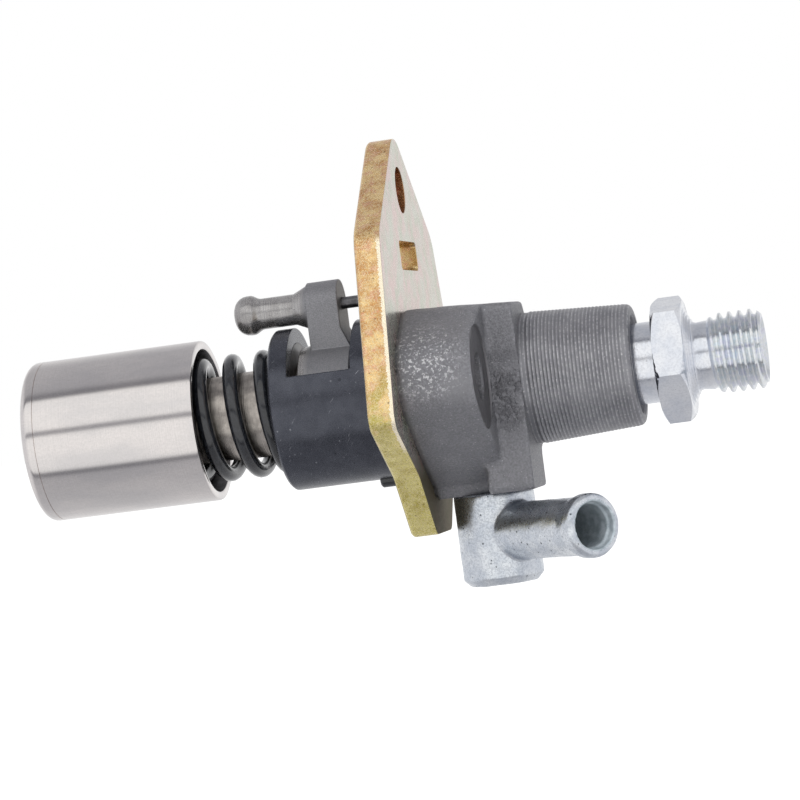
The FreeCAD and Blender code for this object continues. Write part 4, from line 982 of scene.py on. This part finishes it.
def makeHexagon(sizes):
    # thirty-degree chamfers, as the bar was faced before the flats were milled
    flat = sizes["across"] / 2
    corner = flat / math.cos(math.radians(30))
    rise = (corner + 1 - flat) * math.tan(math.radians(30))
    obj = lathe("hexagon", [
        (sizes["hexLeft"], sizes["hexHole"]), (sizes["hexLeft"], flat),
        (sizes["hexLeft"] + rise, corner + 1), (sizes["hexRight"] - rise, corner + 1),
        (sizes["hexRight"], flat), (sizes["hexRight"], sizes["hexHole"]),
    ], sizes["steps"])
    points = []
    for x in (sizes["hexLeft"] - 1, sizes["hexRight"] + 1):
        for i in range(6):
            angle = math.radians(sizes["turn"] + 60 * i + 30)
            points.append((x * mm, -corner * math.cos(angle) * mm, corner * math.sin(angle) * mm))
    faces = [tuple(range(6)), tuple(range(11, 5, -1))]
    faces += [(i, (i + 1) % 6, (i + 1) % 6 + 6, i + 6) for i in range(6)]
    mesh = bpy.data.meshes.new("prism")
    mesh.from_pydata(points, [], faces)
    prism = newObject("prism", mesh)
    tidyMesh(prism)
    boolean(obj, prism, "INTERSECT")
    tidyMesh(obj, 0.002)
    addModifier(
        obj, "BEVEL", width=sizes["hexEase"] * mm, segments=2, limit_method="ANGLE",
        angle_limit=math.radians(25), use_clamp_overlap=True,
    )
    return obj


def makeHolder():
    sizes = holderSizes
    right, threadRight, hexLeft, neck, inner, cavity, start = (sizes[key] for key in (
        "right", "threadRight", "hexLeft", "neck", "inner", "cavity", "undercutRight",
    ))
    ease, tipEase, threadEase = sizes["ease"], sizes["tipEase"], sizes["threadEase"]
    rings = math.ceil((right - start) / sizes["threadStep"])
    step = (right - start) / rings
    profile = [
        (sizes["left"], cavity), (sizes["left"], inner), (threadRight - threadEase, inner),
        (threadRight, inner - threadEase), (threadRight, neck + ease), (threadRight + ease, neck),
        (hexLeft - 0.5, neck), (hexLeft - ease, neck + 0.12), (hexLeft + 0.1, neck + 0.5),
    ]
    # turned steps that run down from the hexagon's face to the undercut
    profile += [(sizes["hexRight"] + along, sizes["undercut"] + up) for along, up in sizes["collar"]]
    profile += [(start + i * step, sizes["undercut"] + 0.01) for i in range(rings + 1)]
    profile += [
        (right, sizes["cone"] + tipEase), (right - tipEase, sizes["cone"]),
        (right - sizes["coneDepth"], sizes["bore"]), (sizes["cavityRight"], sizes["bore"]),
        (sizes["cavityRight"], cavity),
    ]
    obj = lathe("valveHolder", profile, sizes["steps"])
    for vertex in obj.data.vertices:
        x, y, z = (value / mm for value in vertex.co)
        radius = math.hypot(y, z)
        if abs(radius - sizes["undercut"] - 0.01) < 0.004 and x > start - 0.01:
            grow = threadRadius(sizes, x, math.atan2(z, y)) / radius
            vertex.co.y = y * grow * mm
            vertex.co.z = z * grow * mm
    boolean(obj, makeHexagon(sizes), "UNION")
    tidyMesh(obj, 0.002)
    shade(obj, 32)
    trueFlats(obj)
    return dress(obj, finishes["brightZinc"], "root", "bright_zinc", "delivery_valve_holder")


elbowSizes = {
    "voxel": 0.2, "ripple": 0.05, "rippleSize": 1.6, "stub": 6.1, "tubeZ": -22.3, "tubeInner": 3.8,
    "joinRing": (5.2, 8.5), "joinOut": 2.0, "joinFoot": -28.5,
}


def makeElbow():
    sizes = elbowSizes
    obj = copyNode("inlet_elbow", "inletElbow")
    roughen(obj, sizes)
    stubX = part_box("inlet_elbow")[0].x / mm + sizes["stub"]

    def byTheJoin(vertex):
        x, y, z = (value / mm for value in vertex.co)
        near, far = sizes["joinRing"]
        inFront = x + -y > stubX + sizes["joinOut"] and z > sizes["joinFoot"]
        return near < math.hypot(x - stubX, y) < far and inFront
    soften(obj, byTheJoin, 12, 3)
    shade(obj, 60)
    dress(obj, finishes["pittedZinc"], "root", "pitted_zinc", "inlet_elbow")
    # the tube's bore is dull and paler than the plated outside would show there
    obj.data.materials.append(finishes["dullZinc"])
    along = Vector((1, -1, 0)).normalized()
    for face in obj.data.polygons:
        offset = face.center / mm - Vector((stubX, 0, sizes["tubeZ"]))
        reach = offset.dot(along)
        outwards = offset - along * reach
        if reach > sizes["stub"] and outwards.length < sizes["tubeInner"] and face.normal.dot(outwards) < 0:
            face.material_index = 1
    return obj


def makeSeal():
    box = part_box("holder_o_ring")
    outer = box[1].y
    thick = (box[1].x - box[0].x) / 2
    bpy.ops.object.select_all(action="DESELECT")
    bpy.ops.mesh.primitive_torus_add(
        major_radius=outer - thick, minor_radius=thick, major_segments=96, minor_segments=20,
        location=((box[0].x + box[1].x) / 2, 0, 0), rotation=(0, math.radians(90), 0),
    )
    obj = bpy.context.object
    obj.name = "sealRing"
    bpy.ops.object.transform_apply(location=True, rotation=True, scale=True)
    shade(obj, 60)
    return dress(obj, finishes["blackRubber"], "root", "rubber", "holder_o_ring")


def dressInnerNodes():
    for finish, nodes in (
        ("hardSteel", ("adjusting_shim", "plunger", "plunger_barrel")),
        ("hardSteel", ("delivery_valve_seat", "delivery_valve")),
        ("pressedSteel", ("lower_spring_seat", "upper_spring_seat")),
        ("pinSteel", ("barrel_index_pin",)),
        ("softCopper", ("valve_gasket",)),
    ):
        for node in nodes:
            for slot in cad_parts[node].material_slots:
                slot.material = finishes[finish]


oliveGold = (tone(188, 174, 88), tone(218, 206, 126))
orangeGold = (tone(200, 146, 88), tone(240, 204, 142))
copper = (tone(150, 104, 66), tone(176, 128, 84))
gold = (tone(206, 174, 116), tone(224, 200, 150))
finishes = {
    "groundSteel": groundSteel(),
    "hardSteel": plainSteel("hardSteel", tone(160, 160, 162), tone(182, 182, 184), 0.2, 0.3),
    "pressedSteel": plainSteel("pressedSteel", tone(128, 127, 128), tone(152, 151, 152), 0.34, 0.5),
    "sleeveSteel": plainSteel("sleeveSteel", tone(158, 152, 146), tone(196, 189, 181), 0.26, 0.14),
    "pinSteel": plainSteel("pinSteel", tone(96, 95, 97), tone(132, 131, 134), 0.3, 0.2),
    "softCopper": plainSteel("softCopper", tone(190, 116, 82), tone(208, 138, 100), 0.3, 0.4),
    "blackGloss": blackGloss(),
    "blackOxide": blackOxide(),
    "sinteredSteel": sinteredSteel(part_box("control_arm")[0].x / mm + armSizes["studLength"]),
    "yellowZincFace": yellowZincFace(),
    "yellowZincEdge": yellowZincEdge("yellowZincEdge", oliveGold, orangeGold, True, 1.0),
    "copperHole": yellowZincEdge("copperHole", copper, copper, False, 0.25),
    "goldWindow": yellowZincEdge("goldWindow", gold, gold, False, 0.15),
    "castIron": castIron(),
    "machinedIron": machinedIron(castSizes["holeY"], castSizes["holeZ"]),
    "turnedIron": turnedIron(coneSizes["start"] + coneSizes["relief"], coneSizes["ridgePitch"]),
    "brightZinc": brightZinc(holderSizes["undercutRight"]),
    "pittedZinc": pittedZinc(),
    "dullZinc": dullZinc(),
    "blackRubber": blackRubber(),
}
print("finishes made:", len(finishes))
for make in (
    makeTappet, makeBarrel, makeSleeve, makeArm, makePins, makePlate, makeSprings,
    makeCasting, makeCone, makeHolder, makeElbow, makeSeal, dressInnerNodes,
):
    make()
    print("done:", make.__name__)


# the studio

studio = {
    "distance": 520.0, "lens": 155.0, "aim": (-0.23, 0.0, -0.67), "sideTurn": 0.1797, "roll": 7.5,
    "floor": -90.0, "diffuseLevel": 0.55,
}


def setCamera():
    back = Vector((studio["sideTurn"], -math.sqrt(1 - studio["sideTurn"] ** 2), 0))
    level = Vector((-back.y, back.x, 0))
    up = Vector((0, 0, 1))
    roll = math.radians(studio["roll"])
    right = level * math.cos(roll) - up * math.sin(roll)
    above = level * math.sin(roll) + up * math.cos(roll)
    camera = newObject("camera", bpy.data.cameras.new("camera"))
    camera.data.lens = studio["lens"]
    camera.data.sensor_width = 36
    camera.data.clip_start = 0.01
    place = (Vector(studio["aim"]) + back * studio["distance"]) * mm
    turn = Matrix((right, above, back)).transposed().to_4x4()
    camera.matrix_world = Matrix.Translation(place) @ turn
    bpy.context.scene.camera = camera


def setWorld():
    world = bpy.data.worlds.new("studio")
    bpy.context.scene.world = world
    world.use_nodes = True
    tree = world.node_tree
    tree.nodes.clear()
    path = addNode(tree, "ShaderNodeLightPath")
    direction = addNode(tree, "ShaderNodeTexCoord")
    parts = splitPoint(tree, direction.outputs["Generated"])
    # angle round the pump's axis: 0 straight ahead of the object, a quarter turn up at the ceiling
    front = times(tree, parts[1], -1.0)
    angle = doMath(tree, "ARCTAN2", parts[2], front)
    share = remap(tree, angle, -math.pi, math.pi, 0.0, 1.0, False)
    panels = addNode(tree, "ShaderNodeValToRGB", {0: share})
    stops = (
        (-180, 0.95), (-120, 0.62), (-75, 0.5), (-53, 0.46), (-49, 0.2), (-46, 0.2), (-42, 0.95), (8, 1.0),
        (11, 0.32), (15, 0.32), (18, 1.0), (61, 1.0), (65, 0.2), (69, 0.22), (78, 0.46), (130, 0.5),
        (180, 0.95),
    )
    ramp = panels.color_ramp
    ramp.elements[0].position = 0
    ramp.elements[1].position = 1
    for degrees, level in stops[1:-1]:
        ramp.elements.new((degrees + 180) / 360)
    for element, (degrees, level) in zip(ramp.elements, stops):
        element.color = (level, level, level ** 0.94, 1)
    sideways = remap(tree, doMath(tree, "ABSOLUTE", parts[0]), 0.55, 0.9)
    shown = blendColors(tree, sideways, panels.outputs[0], (0.8, 0.8, 0.82, 1))
    glossy, through = path.outputs["Is Glossy Ray"], path.outputs["Is Transmission Ray"]
    inMetal = doMath(tree, "ADD", glossy, through, clamp=True)
    level = studio["diffuseLevel"]
    color = blendColors(tree, inMetal, (level, level, level, 1), shown)
    color = blendColors(tree, path.outputs["Is Camera Ray"], color, (1, 1, 1, 1))
    background = addNode(tree, "ShaderNodeBackground", {"Color": color, "Strength": 1.0})
    output = addNode(tree, "ShaderNodeOutputWorld")
    tree.links.new(background.outputs[0], output.inputs[0])


def setFloor():
    bpy.ops.object.select_all(action="DESELECT")
    bpy.ops.mesh.primitive_plane_add(size=40, location=(0, 0, studio["floor"] * mm))
    floor = bpy.context.object
    floor.name = "floor"
    material = bpy.data.materials.new("paleFloor")
    material.use_nodes = True
    tree = material.node_tree
    tree.nodes.clear()
    path = addNode(tree, "ShaderNodeLightPath")
    matt = addNode(tree, "ShaderNodeBsdfDiffuse", {"Color": (0.8, 0.8, 0.8, 1)})
    glow = addNode(tree, "ShaderNodeEmission", {
        "Color": (1, 1, 1, 1), "Strength": times(tree, path.outputs["Is Camera Ray"], 0.7),
    })
    both = addNode(tree, "ShaderNodeAddShader", {0: matt.outputs[0], 1: glow.outputs[0]})
    output = addNode(tree, "ShaderNodeOutputMaterial")
    tree.links.new(both.outputs[0], output.inputs[0])
    floor.data.materials.append(material)
    floor.visible_glossy = False


def setLamps():
    # (name, place, size, watts): soft panels above the front, from both sides and from behind
    for name, place, size, power in (
        ("keyPanel", (-0.25, -0.55, 0.55), 0.6, 7.0),
        ("fillPanel", (0.5, -0.6, 0.1), 0.6, 3.5),
        ("topPanel", (0.0, 0.15, 0.7), 0.6, 3.5),
        ("backPanel", (-0.2, 0.7, 0.3), 0.6, 3.0),
    ):
        lamp = bpy.data.lights.new(name, "AREA")
        lamp.energy = power
        lamp.size = size
        obj = newObject(name, lamp)
        obj.location = place
        obj.rotation_euler = (-Vector(place)).to_track_quat("-Z", "Y").to_euler()
        obj.visible_glossy = False


setCamera()
setWorld()
setFloor()
setLamps()
bpy.context.scene.view_settings.view_transform = "Standard"
print("studio ready")
